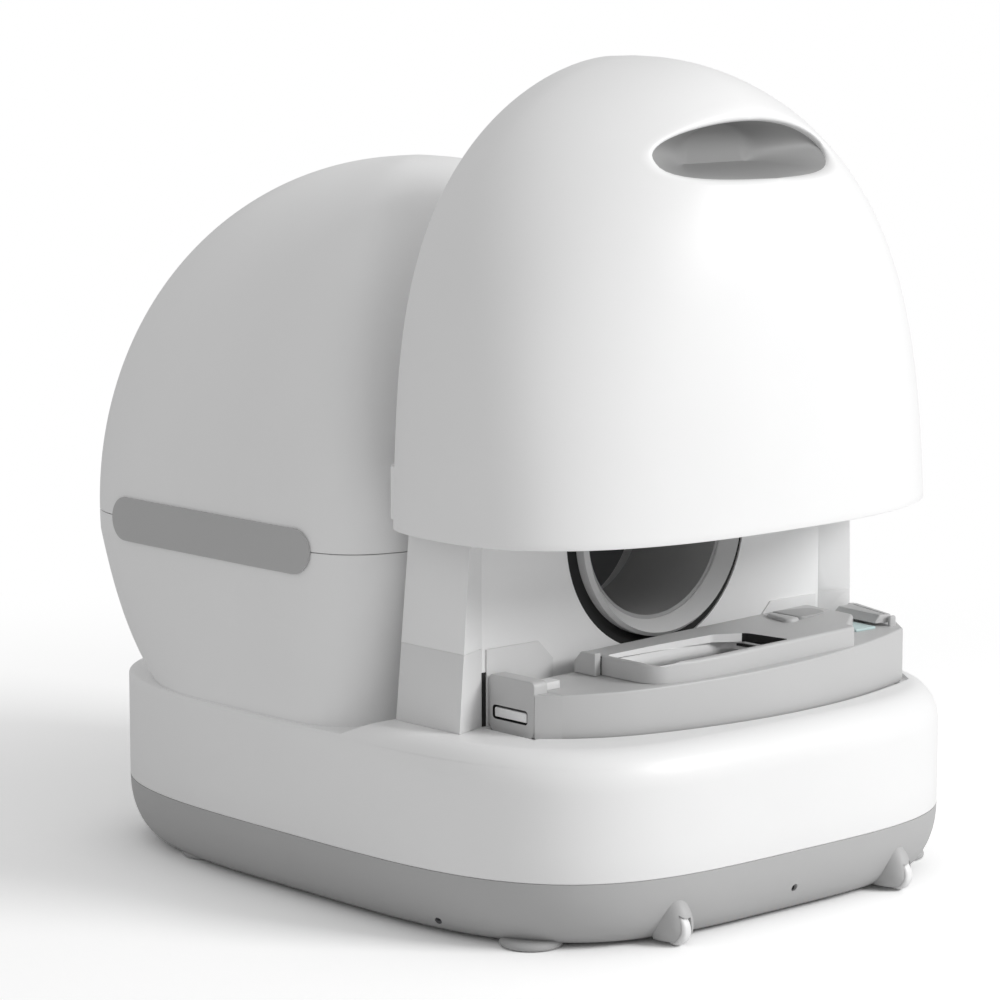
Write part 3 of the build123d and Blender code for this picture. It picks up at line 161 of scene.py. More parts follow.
# Base pan: the grey ABS tub under everything, moulded with a curved side. The caster
# housings on its front edge share its finish.
mm = 0.001
smooth_limit = 32


def moulded_plastic(name, shade, roughness, grain=0.9, depth=0.02, cloud=0.02):
    """Moulded ABS: an even colour, faint clouding and a fine spark-eroded grain.

    The real grain is about a tenth of a millimetre; it is drawn coarser, so that it shows.
    """
    paint = bpy.data.materials.new(name)
    paint.use_nodes = True
    tree = paint.node_tree
    skin = tree.nodes["Principled BSDF"]
    spot = add_node(tree, "ShaderNodeTexCoord").outputs["Object"]
    clouds = add_node(tree, "ShaderNodeTexNoise", {"Scale": 9.0, "Detail": 3.0}, {"Vector": spot})
    tint = add_node(
        tree,
        "ShaderNodeMapRange",
        {"From Min": 0.3, "From Max": 0.7, "To Min": 1 - cloud, "To Max": 1.0},
        {"Value": clouds.outputs["Fac"]},
    )
    colour = add_node(
        tree,
        "ShaderNodeVectorMath",
        {"operation": "SCALE", 0: linear(shade)[:3]},
        {"Scale": tint.outputs[0]},
    )
    tree.links.new(colour.outputs[0], skin.inputs["Base Color"])
    grit = add_node(
        tree,
        "ShaderNodeTexNoise",
        {"Scale": 1 / (grain * mm), "Detail": 2.0, "Roughness": 0.6},
        {"Vector": spot},
    )
    matt = add_node(
        tree,
        "ShaderNodeMapRange",
        {"To Min": roughness - 0.04, "To Max": roughness + 0.04},
        {"Value": grit.outputs["Fac"]},
    )
    tree.links.new(matt.outputs[0], skin.inputs["Roughness"])
    bump = add_node(
        tree,
        "ShaderNodeBump",
        {"Strength": 0.25, "Distance": depth * mm},
        {"Height": grit.outputs["Fac"]},
    )
    tree.links.new(bump.outputs[0], skin.inputs["Normal"])
    skin.inputs["IOR"].default_value = 1.5
    return paint


def bare_metal(name, shade, roughness, grain, depth):
    """Bare metal: the same fine grain on a reflecting skin."""
    paint = moulded_plastic(name, shade, roughness, grain, depth)
    paint.node_tree.nodes["Principled BSDF"].inputs["Metallic"].default_value = 1.0
    return paint


def dress(node, paint, edge=0.0):
    """Gives a CAD node its finish, smooth faces and, if asked, softened edges (mm)."""
    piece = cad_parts[node]
    piece.data.materials.clear()
    piece.data.materials.append(paint)
    for face in piece.data.polygons:
        face.use_smooth = True
    weld = piece.modifiers.new("weld", "WELD")
    weld.merge_threshold = 0.01 * mm
    if edge:
        flat = piece.modifiers.new("flat", "DECIMATE")
        flat.decimate_type = "DISSOLVE"
        flat.angle_limit = math.radians(1)
        soft = piece.modifiers.new("soft", "BEVEL")
        soft.width = edge * mm
        soft.segments = 2
        soft.angle_limit = math.radians(28)
        soft.harden_normals = False
    split = piece.modifiers.new("split", "EDGE_SPLIT")
    split.split_angle = math.radians(smooth_limit)


# Moulded ABS in mid grey: an even satin with a soft, wide highlight.
pan_abs = moulded_plastic("pan_abs", "B9B9B9", 0.5)
dress("base_pan", pan_abs)

# Screws: three dark zinc-plated slotted screws that hold the pan to the housing. They
# are sunk deep in the pan's side.
# Zinc-plated steel: a dull dark metal with a small glint.
zinc = bare_metal("zinc_plate", "5A5A5C", 0.4, 0.6, 0.01)
dress("pan_screws", zinc)

# Casters: two small white nylon wheels that turn on bright steel axles, which are
# pressed into the housings.
# Moulded nylon: clean white with a slight waxy sheen.
wheel_nylon = moulded_plastic("wheel_nylon", "F4F4F4", 0.35)
dress("caster_wheel_left", wheel_nylon)
dress("caster_wheel_right", wheel_nylon)
# Turned bright steel: a pale metal that mirrors what is beside it.
steel = bare_metal("bright_steel", "B4B4B6", 0.3, 0.4, 0.01)
dress("caster_axles", steel)

# Base housing: the white ABS band that carries the deck, moulded in one piece. Its
# front edge rolls over into the deck and its rear edge stays an upright rim.
base_half_x = 255 * mm
base_half_y = 306 * mm
base_power = 3.78
base_count = 240
pan_seam = 52.9 * mm
rim_top = 140 * mm
deck_top = 150 * mm
deck_thickness = 6.5 * mm
ramp_front = -84 * mm
ramp_rear = -62 * mm
shoulder_rear = 27 * mm
shoulder_drop = 30 * mm
shoulder_inset = 24 * mm
shoulder_blend = 90 * mm
shoulder_steps = 24
rim_round = 3 * mm
band_wall = 3 * mm
beyond = 0.4
overhead = 0.3
# Moulded ABS in white: nearly even, with soft lights on its rounded edges.
white_abs = moulded_plastic("white_abs", "F5F5F5", 0.4)


def rounded_edge(half_x, front, rear, centre, front_power, rear_power, z, count):
    """A closed rounded outline with its own reach to the front and to the rear."""
    points = []
    for step in range(count):
        angle = math.tau * step / count
        behind = math.sin(angle) >= 0
        reach, power = (rear, rear_power) if behind else (front, front_power)
        across = abs(math.cos(angle) / half_x) ** power
        along = abs(math.sin(angle) / reach) ** power
        radius = (across + along) ** (-1 / power)
        points.append(Vector((radius * math.cos(angle), centre + radius * math.sin(angle), z)))
    return points


def base_edge(z, inset, shoulder_z=deck_top, rim_z=rim_top):
    """The base's outline at a height, pulled in where shoulder and rim round over."""
    half_x, half_y = base_half_x - inset, base_half_y - inset
    points = rounded_edge(half_x, half_y, half_y, 0, base_power, base_power, z, base_count)
    rise = min(1, max(0, (z - shoulder_z + shoulder_drop) / shoulder_drop))
    rim_rise = min(1, max(0, (z - rim_z + rim_round) / rim_round))
    roll = shoulder_inset * (1 - math.sqrt(1 - rise**2))
    rim_roll = rim_round * (1 - math.sqrt(1 - rim_rise**2))
    for point in points:
        share = min(1, max(0, (shoulder_rear - point.y) / shoulder_blend))
        share = share * share * (3 - 2 * share)
        pull = 1 - (roll * share + rim_roll * (1 - share)) / math.hypot(point.x, point.y)
        point.x *= pull
        point.y *= pull
    return points


def ring_skin(rings, close_first=True, close_last=True):
    """A bmesh skin over rings of points, one bridge between each two."""
    mesh = bmesh.new()
    loops = []
    for ring in rings:
        verts = bmesh.ops.create_circle(mesh, segments=len(ring), radius=1)["verts"]
        for vert, point in zip(verts, ring):
            vert.co = point
        loops.append(list(dict.fromkeys(edge for vert in verts for edge in vert.link_edges)))
    for low, high in zip(loops, loops[1:]):
        bmesh.ops.bridge_loops(mesh, edges=low + high)
    if close_first:
        bmesh.ops.edgeloop_fill(mesh, edges=loops[0])
    if close_last:
        bmesh.ops.edgeloop_fill(mesh, edges=loops[-1])
    bmesh.ops.recalc_face_normals(mesh, faces=mesh.faces)
    return mesh


def finished(mesh, name, paint=None):
    """Turns a bmesh into an object with smooth faces and sharp edges."""
    data = bpy.data.meshes.new(name)
    mesh.to_mesh(data)
    mesh.free()
    data.shade_smooth()
    data.set_sharp_from_angle(angle=math.radians(smooth_limit))
    if paint:
        data.materials.append(paint)
    piece = bpy.data.objects.new(name, data)
    bpy.context.scene.collection.objects.link(piece)
    return piece


def settle(piece):
    """Makes a piece's modifiers part of its mesh."""
    graph = bpy.context.evaluated_depsgraph_get()
    data = bpy.data.meshes.new_from_object(piece.evaluated_get(graph))
    piece.modifiers.clear()
    piece.data = data
    data.shade_smooth()
    data.set_sharp_from_angle(angle=math.radians(smooth_limit))
    return piece


def thicken(piece, wall, offset=-1, even=False):
    """Gives a skin its wall, inwards unless offset says otherwise."""
    thick = piece.modifiers.new("thick", "SOLIDIFY")
    thick.thickness = wall
    thick.offset = offset
    thick.use_even_offset = even
    return settle(piece)


def carve(piece, *tools):
    """Cuts the tool meshes out of a piece and drops the tools."""
    for number, tool_mesh in enumerate(tools):
        tool = finished(tool_mesh, f"tool_{number}")
        cut = piece.modifiers.new("cut", "BOOLEAN")
        cut.operation = "DIFFERENCE"
        cut.solver = "EXACT"
        cut.object = tool
        settle(piece)
        bpy.data.objects.remove(tool)


def place(piece, node, body, slot):
    """Puts a modelled piece in its node's place and on its body; the slot is not used."""
    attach(piece, body)
    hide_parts(node)


def block(low, high, corner=0):
    """A box from corner to corner, its upright edges rounded by a radius."""
    mesh = bmesh.new()
    bmesh.ops.create_cube(mesh, size=1)
    size = Vector(high) - Vector(low)
    bmesh.ops.scale(mesh, vec=size, verts=mesh.verts)
    bmesh.ops.translate(mesh, vec=(Vector(high) + Vector(low)) / 2, verts=mesh.verts)
    if corner:
        uprights = []
        for edge in mesh.edges:
            if abs((edge.verts[0].co - edge.verts[1].co).z) > size.z / 2:
                uprights.append(edge)
        bmesh.ops.bevel(
            mesh, geom=uprights, offset=corner, segments=8, profile=0.5, affect="EDGES", material=-1
        )
    return mesh


def joined(name, paints, *parts):
    """One object from several meshes, each in one of the paints or, if None, as it is."""
    whole = bmesh.new()
    for part, number in parts:
        first = len(whole.faces)
        if isinstance(part, bmesh.types.BMesh):
            data = bpy.data.meshes.new("part")
            part.to_mesh(data)
            part.free()
        else:
            data = part.data
            bpy.data.objects.remove(part)
        whole.from_mesh(data)
        whole.faces.ensure_lookup_table()
        if number is not None:
            for face in whole.faces[first:]:
                face.material_index = number
    piece = finished(whole, name)
    for paint in paints:
        piece.data.materials.append(paint)
    return piece


def prism(plan, low, high):
    """A straight block over a closed plan of points."""
    return ring_skin([[Vector((p[0], p[1], z)) for p in plan] for z in (low, high)])


def stand_up(mesh, along="X"):
    """Turns a mesh drawn flat: its height becomes X, or becomes -Y."""
    if along == "X":
        turn = Matrix(((0, 0, 1, 0), (1, 0, 0, 0), (0, 1, 0, 0), (0, 0, 0, 1)))
    else:
        turn = Matrix(((1, 0, 0, 0), (0, 0, -1, 0), (0, 1, 0, 0), (0, 0, 0, 1)))
    mesh.transform(turn)
    return mesh


def arc_through(start, middle, end, count):
    """Points of the circle's arc through three places, and its centre."""
    first, second, third = (Vector(p[:2]) for p in (start, middle, end))
    near, far = second - first, third - first
    across = (near.length_squared * far - far.length_squared * near) / (2 * near.cross(far))
    aside = Vector((across.y, -across.x))
    centre = first + aside
    if abs((centre - second).length - aside.length) > 0.01 * mm:
        centre = first - aside
    from_angle = math.atan2(first.y - centre.y, first.x - centre.x)
    turn = math.atan2(third.y - centre.y, third.x - centre.x) - from_angle
    turn = (turn + math.pi) % math.tau - math.pi
    radius = (first - centre).length
    points = []
    for step in range(count + 1):
        angle = from_angle + turn * step / count
        points.append(centre + radius * Vector((math.cos(angle), math.sin(angle))))
    return points, centre


tray_left = -166 * mm
tray_right = 208 * mm
tray_back = -164 * mm
tray_tip = (-180 * mm, -204.6 * mm)
bow_left = (-110 * mm, -246.5 * mm)
bow_middle = (25 * mm, -266 * mm)
bow_right = (190 * mm, -237.5 * mm)
corner_cut = 24 * mm


def tray_turn_points(grow):
    """The tray's rounded left end, from its tip to the point where the bow starts."""
    left = Vector((bow_left[0], bow_left[1] - grow))
    right = Vector((bow_right[0] + grow / 2, bow_right[1] - grow))
    _, centre = arc_through(left, (bow_middle[0], bow_middle[1] - grow), right, 2)
    tip = Vector((tray_tip[0], tray_tip[1] - grow))
    towards = (centre - left).normalized()
    radius = (tip - left).length_squared / (2 * towards.dot(tip - left))
    turn_centre = left + towards * radius
    half = (tip - turn_centre).normalized() + (left - turn_centre).normalized()
    turn, _ = arc_through(tip, turn_centre + half.normalized() * radius, left, 40)
    return turn


def tray_plan(grow):
    """Plan of the tray's body: a straight back, a bowed front and straight ends."""
    left = Vector((bow_left[0], bow_left[1] - grow))
    right = Vector((bow_right[0] + grow / 2, bow_right[1] - grow))
    bow, _ = arc_through(left, (bow_middle[0], bow_middle[1] - grow), right, 40)
    turn = [point for point in tray_turn_points(grow) if point.x > tray_left]
    corners = [
        Vector((tray_right + grow, bow_right[1] + corner_cut)),
        Vector((tray_right + grow, tray_back + grow)),
        Vector((turn[0].x, tray_back + grow)),
    ]
    return turn[:-1] + bow + corners


band_rings = [base_edge(pan_seam, 1.0 * mm), base_edge(pan_seam + 0.6 * mm, 0.2 * mm)]
for height in (54.5, 75, 95, 110, 120):
    band_rings.append(base_edge(height * mm, 0))
for step in range(1, shoulder_steps + 1):
    roll = math.sin(math.pi / 2 * step / shoulder_steps)
    height = deck_top - shoulder_drop + shoulder_drop * roll
    if abs(height - rim_top) > 1.5 * mm:
        band_rings.append(base_edge(height, 0))
    elif height < rim_top:
        for drop in (2.2, 1.4, 0.8, 0.4, 0.12, -0.3, -1.2):
            band_rings.append(base_edge(rim_top - drop * mm, 0))
under_rim = rim_top - band_wall
no_rim = 1.0
hollow_steps = 12
hollow_rings = [base_edge(pan_seam - 5 * mm, band_wall)]
for step in range(hollow_steps + 1):
    rise = (1 - deck_thickness / shoulder_drop) * step / hollow_steps
    height = deck_top - shoulder_drop * (1 - rise)
    hollow_rings.append(base_edge(height, band_wall, deck_top, no_rim))
hollow = finished(ring_skin(hollow_rings), "hollow")
carve(
    hollow, block((-beyond, ramp_front - band_wall, under_rim), (beyond, beyond, overhead))
)
hollow_mesh = bmesh.new()
hollow_mesh.from_mesh(hollow.data)
bpy.data.objects.remove(hollow)

seam = 274 * mm
waist = 258.5 * mm
dome_top = 558.9 * mm
dome_power = 2.04
housing_count = 256
housing_front_power = 7.2
housing_rear_power = 6.1
foot_power_drop = 3.53
housing_half_x = 249 * mm
housing_front = 187 * mm
housing_rear = 180.5 * mm
housing_middle = 112 * mm
housing_lean = 0.091
foot_tuck = 25 * mm


def housing_edge(z, inset=0):
    """The housing's outline at a height, moved inwards by inset."""
    close, front, rear_power = 1, housing_front, housing_rear_power
    if z > waist:
        share = (z - waist) / (dome_top - waist)
        close = max(0.0004, 1 - share**dome_power) ** (1 / dome_power)
    else:
        drop = (waist - z) / (waist - rim_top)
        front -= foot_tuck * drop
        rear_power -= foot_power_drop * drop
    half_x, front, rear = (
        length * close - inset for length in (housing_half_x, front, housing_rear)
    )
    centre = housing_middle + housing_lean * (z - waist)
    powers = (housing_front_power, rear_power)
    return rounded_edge(half_x, front, rear, centre, *powers, z, housing_count)


above_deck = [
    (ramp_front, overhead),
    (ramp_front, deck_top),
    (ramp_rear, rim_top),
    (beyond, rim_top),
    (beyond, overhead),
]
pocket_gap = 5 * mm
pocket_floor = 146.7 * mm
gutter_floor = 144.6 * mm
bay_floor = 55.9 * mm
cap_left = -180 * mm
cap_back = -153.5 * mm
cap_pocket = [Vector((cap_left - pocket_gap, cap_back))]
cap_pocket.append(Vector((cap_left - pocket_gap, tray_tip[1] - pocket_gap)))
cap_pocket += tray_turn_points(pocket_gap)[:24]
cap_pocket.append(Vector((cap_pocket[-1].x, cap_back)))
gutter = tray_plan(pocket_gap)[:-3] + tray_plan(-6 * mm)[:-3][::-1]
base_band = finished(ring_skin(band_rings), "base_band", white_abs)
drum_bay = prism(housing_edge(rim_top, 24 * mm), bay_floor, overhead)
drum_bay_sides = block((-0.225, 0.01, bay_floor), (0.225, 0.192, overhead))
bin_bay = block((-0.0974, -0.2424, bay_floor), (0.1074, -0.1696, overhead), 10 * mm)
panel_window = block((-0.0591, 0.27, 0.0809), (0.0591, beyond, 0.1211))
inlet_window = block((0.081, 0.27, 0.066), (0.099, beyond, 0.078))
carve(
    base_band,
    hollow_mesh,
    stand_up(prism(above_deck, -beyond, beyond)),
    drum_bay,
    drum_bay_sides,
    prism(tray_plan(pocket_gap), pocket_floor, overhead),
    prism(cap_pocket, pocket_floor, overhead),
    prism(gutter, gutter_floor, overhead),
    bin_bay,
    panel_window,
    inlet_window,
)
place(base_band, "base_housing", "base", "white_satin")

# Feet: four low moulded discs of pale grey rubber with rounded rims, which are glued
# under the pan.
# Moulded rubber: pale grey and quite dull.
foot_rubber = moulded_plastic("foot_rubber", "B4B4B4", 0.75)
foot_profile = [(22.4, 0), (23.2, 0.3), (23.8, 1.2), (24, 2.4), (23.7, 3.8), (22.8, 4.8), (21, 5.6)]
foot_count = 64
feet_parts = []
for foot_x, foot_y in ((-200, -223), (200, -223), (-206, 154), (206, 154)):
    rings = []
    for radius, height in foot_profile:
        ring = []
        for number in range(foot_count):
            angle = math.tau * number / foot_count
            x = foot_x + radius * math.cos(angle)
            y = foot_y + radius * math.sin(angle)
            ring.append(Vector((x, y, height)) * mm)
        rings.append(ring)
    feet_parts.append((ring_skin(rings), 0))
feet = joined("feet", [foot_rubber], *feet_parts)
place(feet, "rubber_feet", "base", "black_rubber")

# Caster housings: two pear-shaped grey hoods moulded onto the pan's front edge,
# each with an open well for its wheel.
hood_x = 120.3 * mm
hood_y = -283 * mm
hood_half_x = 14.1 * mm
hood_front = 25.4 * mm
hood_rear = 4.8 * mm
hood_belly = 14 * mm
hood_steps = 24
wheel_x = 122 * mm
wheel_y = -297 * mm
wheel_z = 12.5 * mm
well_radius = 13.6 * mm
well_width = 9.6 * mm


def drill(radius, depth, axis, centre, segments):
    """A round bar to cut with, its length along an axis."""
    mesh = bmesh.new()
    bmesh.ops.create_cone(
        mesh, cap_ends=True, segments=segments, radius1=radius, radius2=radius, depth=depth
    )
    turn = Matrix.Rotation(math.pi / 2, 3, axis)
    bmesh.ops.rotate(mesh, cent=(0, 0, 0), matrix=turn, verts=mesh.verts)
    bmesh.ops.translate(mesh, vec=centre, verts=mesh.verts)
    return mesh


hoods = []
wheel_wells = []
for side in (-1, 1):
    hood_rings = []
    for step in range(hood_steps + 1):
        height = (3.2 + 38.4 * math.sin(math.pi / 2 * step / hood_steps)) * mm
        rise = max(0, (height - hood_belly) / (27.7 * mm))
        drop = max(0, (hood_belly - height) / (11 * mm))
        close = max(0.02, 1 - rise**2) ** 0.62 * (1 - 0.22 * drop**2)
        half_x, front = hood_half_x * close, hood_front * close
        ring = rounded_edge(half_x, front, hood_rear, hood_y, 2.3, 2.3, height, 48)
        for point in ring:
            point.x += side * hood_x
        hood_rings.append(ring)
    hoods.append((ring_skin(hood_rings), 0))
    middle, half = side * wheel_x, well_width / 2
    wheel_wells.append(drill(well_radius, well_width, "Y", (middle, wheel_y, wheel_z), 64))
    wheel_wells.append(block((middle - half, -0.32, 0), (middle + half, wheel_y, wheel_z)))
caster_housing = joined("caster_hoods", [pan_abs], *hoods)
carve(caster_housing, *wheel_wells)
place(caster_housing, "caster_housings", "base", "grey_satin")

# Control panel: a dark ABS plate let into the band on the cat's side, with a gloss
# window, two round buttons, and the low-voltage inlet beside it.
# Moulded ABS in dark grey: matt, so that the window on it stands out.
dark_abs = moulded_plastic("dark_abs", "3C3C3D", 0.6)
# Moulded black rubber: dull and deep. The same black also paints shade: the shadow round the port
# ring, the gap beside the end cap, the lug's slit and the shade under the bag ring's right end.
black_rubber = moulded_plastic("black_rubber", "1C1C1C", 0.75)
# Polished acrylic: near black, with one sharp reflection.
gloss_window = moulded_plastic("gloss_window", "0A0A0C", 0.08, 4.0, 0.004)
# Moulded ABS in light grey: even and satin.
light_abs = moulded_plastic("light_abs", "D4D4D4", 0.45)
dress("control_panel", dark_abs)
dress("display_window", gloss_window)
dress("button_left", light_abs)
dress("button_right", light_abs)
dress("power_inlet", black_rubber)

# Inside the pan: four machined aluminium load cells that carry the housing, and the
# green lacquered circuit board on its posts.
# Milled aluminium: a pale metal with a fine dull grain.
cell_metal = bare_metal("cell_aluminium", "A8A9AC", 0.45, 0.7, 0.02)
# Lacquered circuit board: deep green with a sheen.
board_lacquer = moulded_plastic("board_lacquer", "1C5A32", 0.35, 1.5)
dress("load_cells", cell_metal, 0.5)
dress("circuit_board", board_lacquer)

# Housing: two thin white ABS shells that meet at a level seam just over the middle.
# The lower one is fixed to the deck, the upper one lifts off for cleaning.
shell_wall = 3.2 * mm
drum_axis = 284 * mm
neck_radius = 88 * mm
entrance_radius = 128 * mm


def shell_holes():
    """The neck hole and the entrance hole, each open down to the seam."""
    tools = []
    for radius, low_y, high_y in ((neck_radius, -0.12, 0.05), (entrance_radius, 0.2, beyond)):
        centre = (0, (low_y + high_y) / 2, drum_axis)
        tools.append(drill(radius, high_y - low_y, "X", centre, 128))
        tools.append(block((-radius, low_y, seam - 5 * mm), (radius, high_y, drum_axis)))
    return tools


soft_edge = [(0, 0.7), (0.15, 0.3), (0.4, 0.08), (0.8, 0)]
lower_steps = 28
lower_rings = []
for step in range(lower_steps + 1):
    height = rim_top + (seam - mm - rim_top) * step / lower_steps
    lower_rings.append(housing_edge(height))
for rise, tuck in reversed(soft_edge):
    lower_rings.append(housing_edge(seam - rise * mm, tuck * mm))
lower_housing = finished(ring_skin(lower_rings, False, False), "lower_housing", white_abs)
thicken(lower_housing, shell_wall, even=True)
carve(lower_housing, *shell_holes())
place(lower_housing, "lower_shell", "base", "white_satin")

upper_foot = seam + 0.4 * mm
upper_rings = [housing_edge(upper_foot + rise * mm, tuck * mm) for rise, tuck in soft_edge]
upper_steps = 60
for step in range(1, upper_steps + 1):
    turn = math.pi / 2 * step / upper_steps
    height = upper_foot + mm + (dome_top - upper_foot - mm) * math.sin(turn)
    upper_rings.append(housing_edge(height))
upper_housing = finished(ring_skin(upper_rings, False, True), "upper_housing", white_abs)
thicken(upper_housing, shell_wall, even=True)
carve(upper_housing, *shell_holes())
place(upper_housing, "upper_shell", "upper_shell", "white_satin")

# Side strips: two mid grey ABS bands with round ends, snapped over the seam and
# carried by the upper shell.
# Moulded ABS in mid grey: a flat satin band against the white.
strip_abs = moulded_plastic("strip_abs", "BABABA", 0.5)
dress("side_strip_left", strip_abs)
dress("side_strip_right", strip_abs)

# Entrance ring: the light grey ABS ring the cat steps through, with a gloss sensor
# window let into its top.
dress("entrance_ring", light_abs)
dress("sensor_window", gloss_window)

# Drum: two pale blow-moulded halves with a grey rubber liner and a slotted sieve,
# turned by a ring gear and a small motor, on four rubber rollers.
# Blow-moulded ABS: off-white with faint clouding.
pale_abs = moulded_plastic("pale_abs", "E2E2E2", 0.45)
# Moulded rubber: mid grey, dull and a little blotched.
liner_rubber = moulded_plastic("liner_rubber", "77787A", 0.7, 1.2, 0.05)
# Moulded nylon: warm cream with soft lights on its teeth.
gear_nylon = moulded_plastic("gear_nylon", "D6D3C6", 0.5)
# Moulded ABS in dark grey: matt, as it only shows inside.
inner_abs = moulded_plastic("inner_abs", "76777A", 0.55)
dress("drum_shell", pale_abs)
dress("drum_rear", pale_abs)
dress("drum_liner", liner_rubber)
dress("sieve", light_abs, 0.5)
dress("ring_gear", gear_nylon)
dress("pinion", gear_nylon)
dress("motor", zinc)
dress("motor_bracket", steel, 0.4)
dress("roller_brackets", inner_abs, 0.4)
dress("roller_axles", steel)
for corner in ("front_left", "front_right", "rear_left", "rear_right"):
    dress(f"roller_{corner}", black_rubber)

# Service wall: the white ABS wall with the round port. A light ring, a black rubber seal behind it
# and the grey chute lead into the drum's neck. The seal's black paints the shadow in the gap round
# the ring.
# Moulded ABS in grey: matt, so that the port falls off to dark.
chute_abs = moulded_plastic("chute_abs", "A6A6A6", 0.55)
dress("service_wall", white_abs)
dress("port_ring", light_abs)
# Painted shadow: the seal's black stands for the dark gap round the port ring.
dress("port_seal", black_rubber)
dress("chute", chute_abs)

# Guide columns: hollow white ABS posts on pale feet beside the wall, pale tabs on the wall, a thin
# black strip down its left edge that paints the shadow in the gap beside the end cap, and the rails
# for the cover's runners.
# Moulded ABS a shade greyer than the posts.
foot_abs = moulded_plastic("foot_abs", "E6E6E6", 0.45)
for side in ("left", "right"):
    dress(f"column_{side}", white_abs, 1.2)
    dress(f"column_foot_{side}", foot_abs, 1.2)
dress("guide_tabs", pale_abs, 0.5)
# Painted shadow: a thin black strip on the wall, where the gap beside the tray's end cap is in
# shade.
gap_shadow_bar = block((-0.1839, -0.1504, 0.1502), (-0.1797, -0.1496, 0.1915))
painted_gap_shadow = finished(gap_shadow_bar, "painted_gap_shadow", black_rubber)
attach(painted_gap_shadow, "base")
dress("guide_rails", white_abs, 0.4)

# Rear cover: one thin white ABS dome, open towards the housing, that slides up and
# down on the rails. A deep hand recess with a rolled lip is moulded into it.
cover_half_x = 234 * mm
cover_rim = 297.7 * mm
cover_top = 647.57 * mm
cover_back = -94 * mm
cover_wall = 3.2 * mm
cover_steps = 100
cover_count = 384
width_powers = (3.142, 1.744)
depth_powers = (5.216, 2.232)
least_share = 0.000001


def cover_sizes(z):
    """Half width, reach, centre and power of the cover's outline at a height."""
    share = min(1, max(0, (z - cover_rim) / (cover_top - cover_rim)))
    wide = max(least_share, 1 - share ** width_powers[0]) ** (1 / width_powers[1])
    deep = max(least_share, 1 - share ** depth_powers[0]) ** (1 / depth_powers[1])
    centre = -156 * mm + 34.7 * mm * share**2
    reach = centre + 121.3 * mm + 173.6 * mm * deep
    return cover_half_x * wide, reach, centre, 2.63 - 0.95 * share


def cover_edge(z, inset=0):
    """The cover's outline at a height."""
    half_x, reach, centre, power = cover_sizes(z)
    half_x, reach = max(half_x - inset, mm), max(reach - inset, mm)
    return rounded_edge(half_x, reach, reach, centre, power, power, z, cover_count)


def cover_front(x, z):
    """The cover's surface point on its front, seen along Y."""
    half_x, reach, centre, power = cover_sizes(z)
    inside = max(0, 1 - (abs(x) / half_x) ** power)
    return Vector((x, centre - reach * inside ** (1 / power), z))


recess_middle = 576.5 * mm
mouth_shift = 2 * mm
recess_count = 192
lip_steps = 14


def half_moon(angle, half_width, rise, fall, rise_power, fall_power):
    """A place on a half moon round the recess's middle, as X and height."""
    up = math.sin(angle) >= 0
    height, power = (rise, rise_power) if up else (fall, fall_power)
    across = abs(math.cos(angle) / half_width) ** power
    along = abs(math.sin(angle) / height) ** power
    radius = (across + along) ** (-1 / power)
    return Vector((radius * math.cos(angle), radius * math.sin(angle)))


def lip_place(angle):
    """Where the recess's lip leaves the dome."""
    return half_moon(angle, 102 * mm, 40 * mm, 20.5 * mm, 1.47, 3.0)


def mouth_place(angle):
    """Where the lip ends, at the cup's mouth."""
    return half_moon(angle, 92 * mm, 25 * mm, 16.2 * mm, 1.8, 3.2) + Vector((mouth_shift, 0))


cover_rings = [cover_edge(cover_rim, 1.0 * mm), cover_edge(cover_rim + 0.35 * mm, 0.3 * mm)]
cover_rings.append(cover_edge(cover_rim + 1.0 * mm))
for step in range(1, cover_steps + 1):
    share = step / cover_steps
    lift = 0.35 * share + 0.65 * math.sin(math.pi / 2 * share)
    cover_rings.append(cover_edge(cover_rim + mm + (cover_top - cover_rim - mm) * lift))
cover_mesh = ring_skin(cover_rings, False, True)
bmesh.ops.bisect_plane(
    cover_mesh,
    geom=list(cover_mesh.verts) + list(cover_mesh.edges) + list(cover_mesh.faces),
    plane_co=(0, cover_back, 0),
    plane_no=(0, 1, 0),
    clear_outer=True,
)
rear_cover = finished(cover_mesh, "rear_cover_dome", white_abs)
thicken(rear_cover, cover_wall)
around = [math.tau * number / recess_count for number in range(recess_count)]
lip_tool = stand_up(prism([lip_place(angle) for angle in around], 0.1, 0.4), "-Y")
bmesh.ops.translate(lip_tool, vec=(0, 0, recess_middle), verts=lip_tool.verts)
carve(rear_cover, lip_tool)
lip_rings = []
for step in range(lip_steps + 1):
    turn = math.pi / 2 * step / lip_steps
    ring = []
    for angle in around:
        spot = lip_place(angle).lerp(mouth_place(angle), math.sin(turn))
        point = cover_front(spot.x, recess_middle + spot.y)
        up = max(0, math.sin(angle))
        depth = (3.5 + 5 * abs(math.cos(angle)) + 8.5 * up**0.7) * mm
        point.y += depth * (1 - math.cos(turn))
        ring.append(point)
    lip_rings.append(ring)
mouth_ring = [Vector(point) for point in lip_rings[-1]]
lip_piece = thicken(finished(ring_skin(lip_rings, False, False), "lip"), cover_wall)
rear_cover = joined("rear_cover_dome", [white_abs], (rear_cover, 0), (lip_piece, 0))
place(rear_cover, "rear_cover", "cover", "white_satin")

# Handle cup: the ABS pocket behind the recess, welded to the lip, coloured grey as painted shade
# for the dim inside of the recess. Its sides run in to a small back wall, and its floor is flat and
# rises a little inwards.
# Moulded ABS, matt; its grey is painted shade that makes the hand recess look deep.
cup_painted_shade = moulded_plastic("cup_painted_shade", "9C9C9C", 0.55)
cup_back = -209 * mm
cup_wall = 2.5 * mm
floor_front = -268 * mm
floor_low = 561 * mm
floor_high = recess_middle - 4 * mm
floor_rise = 0.14


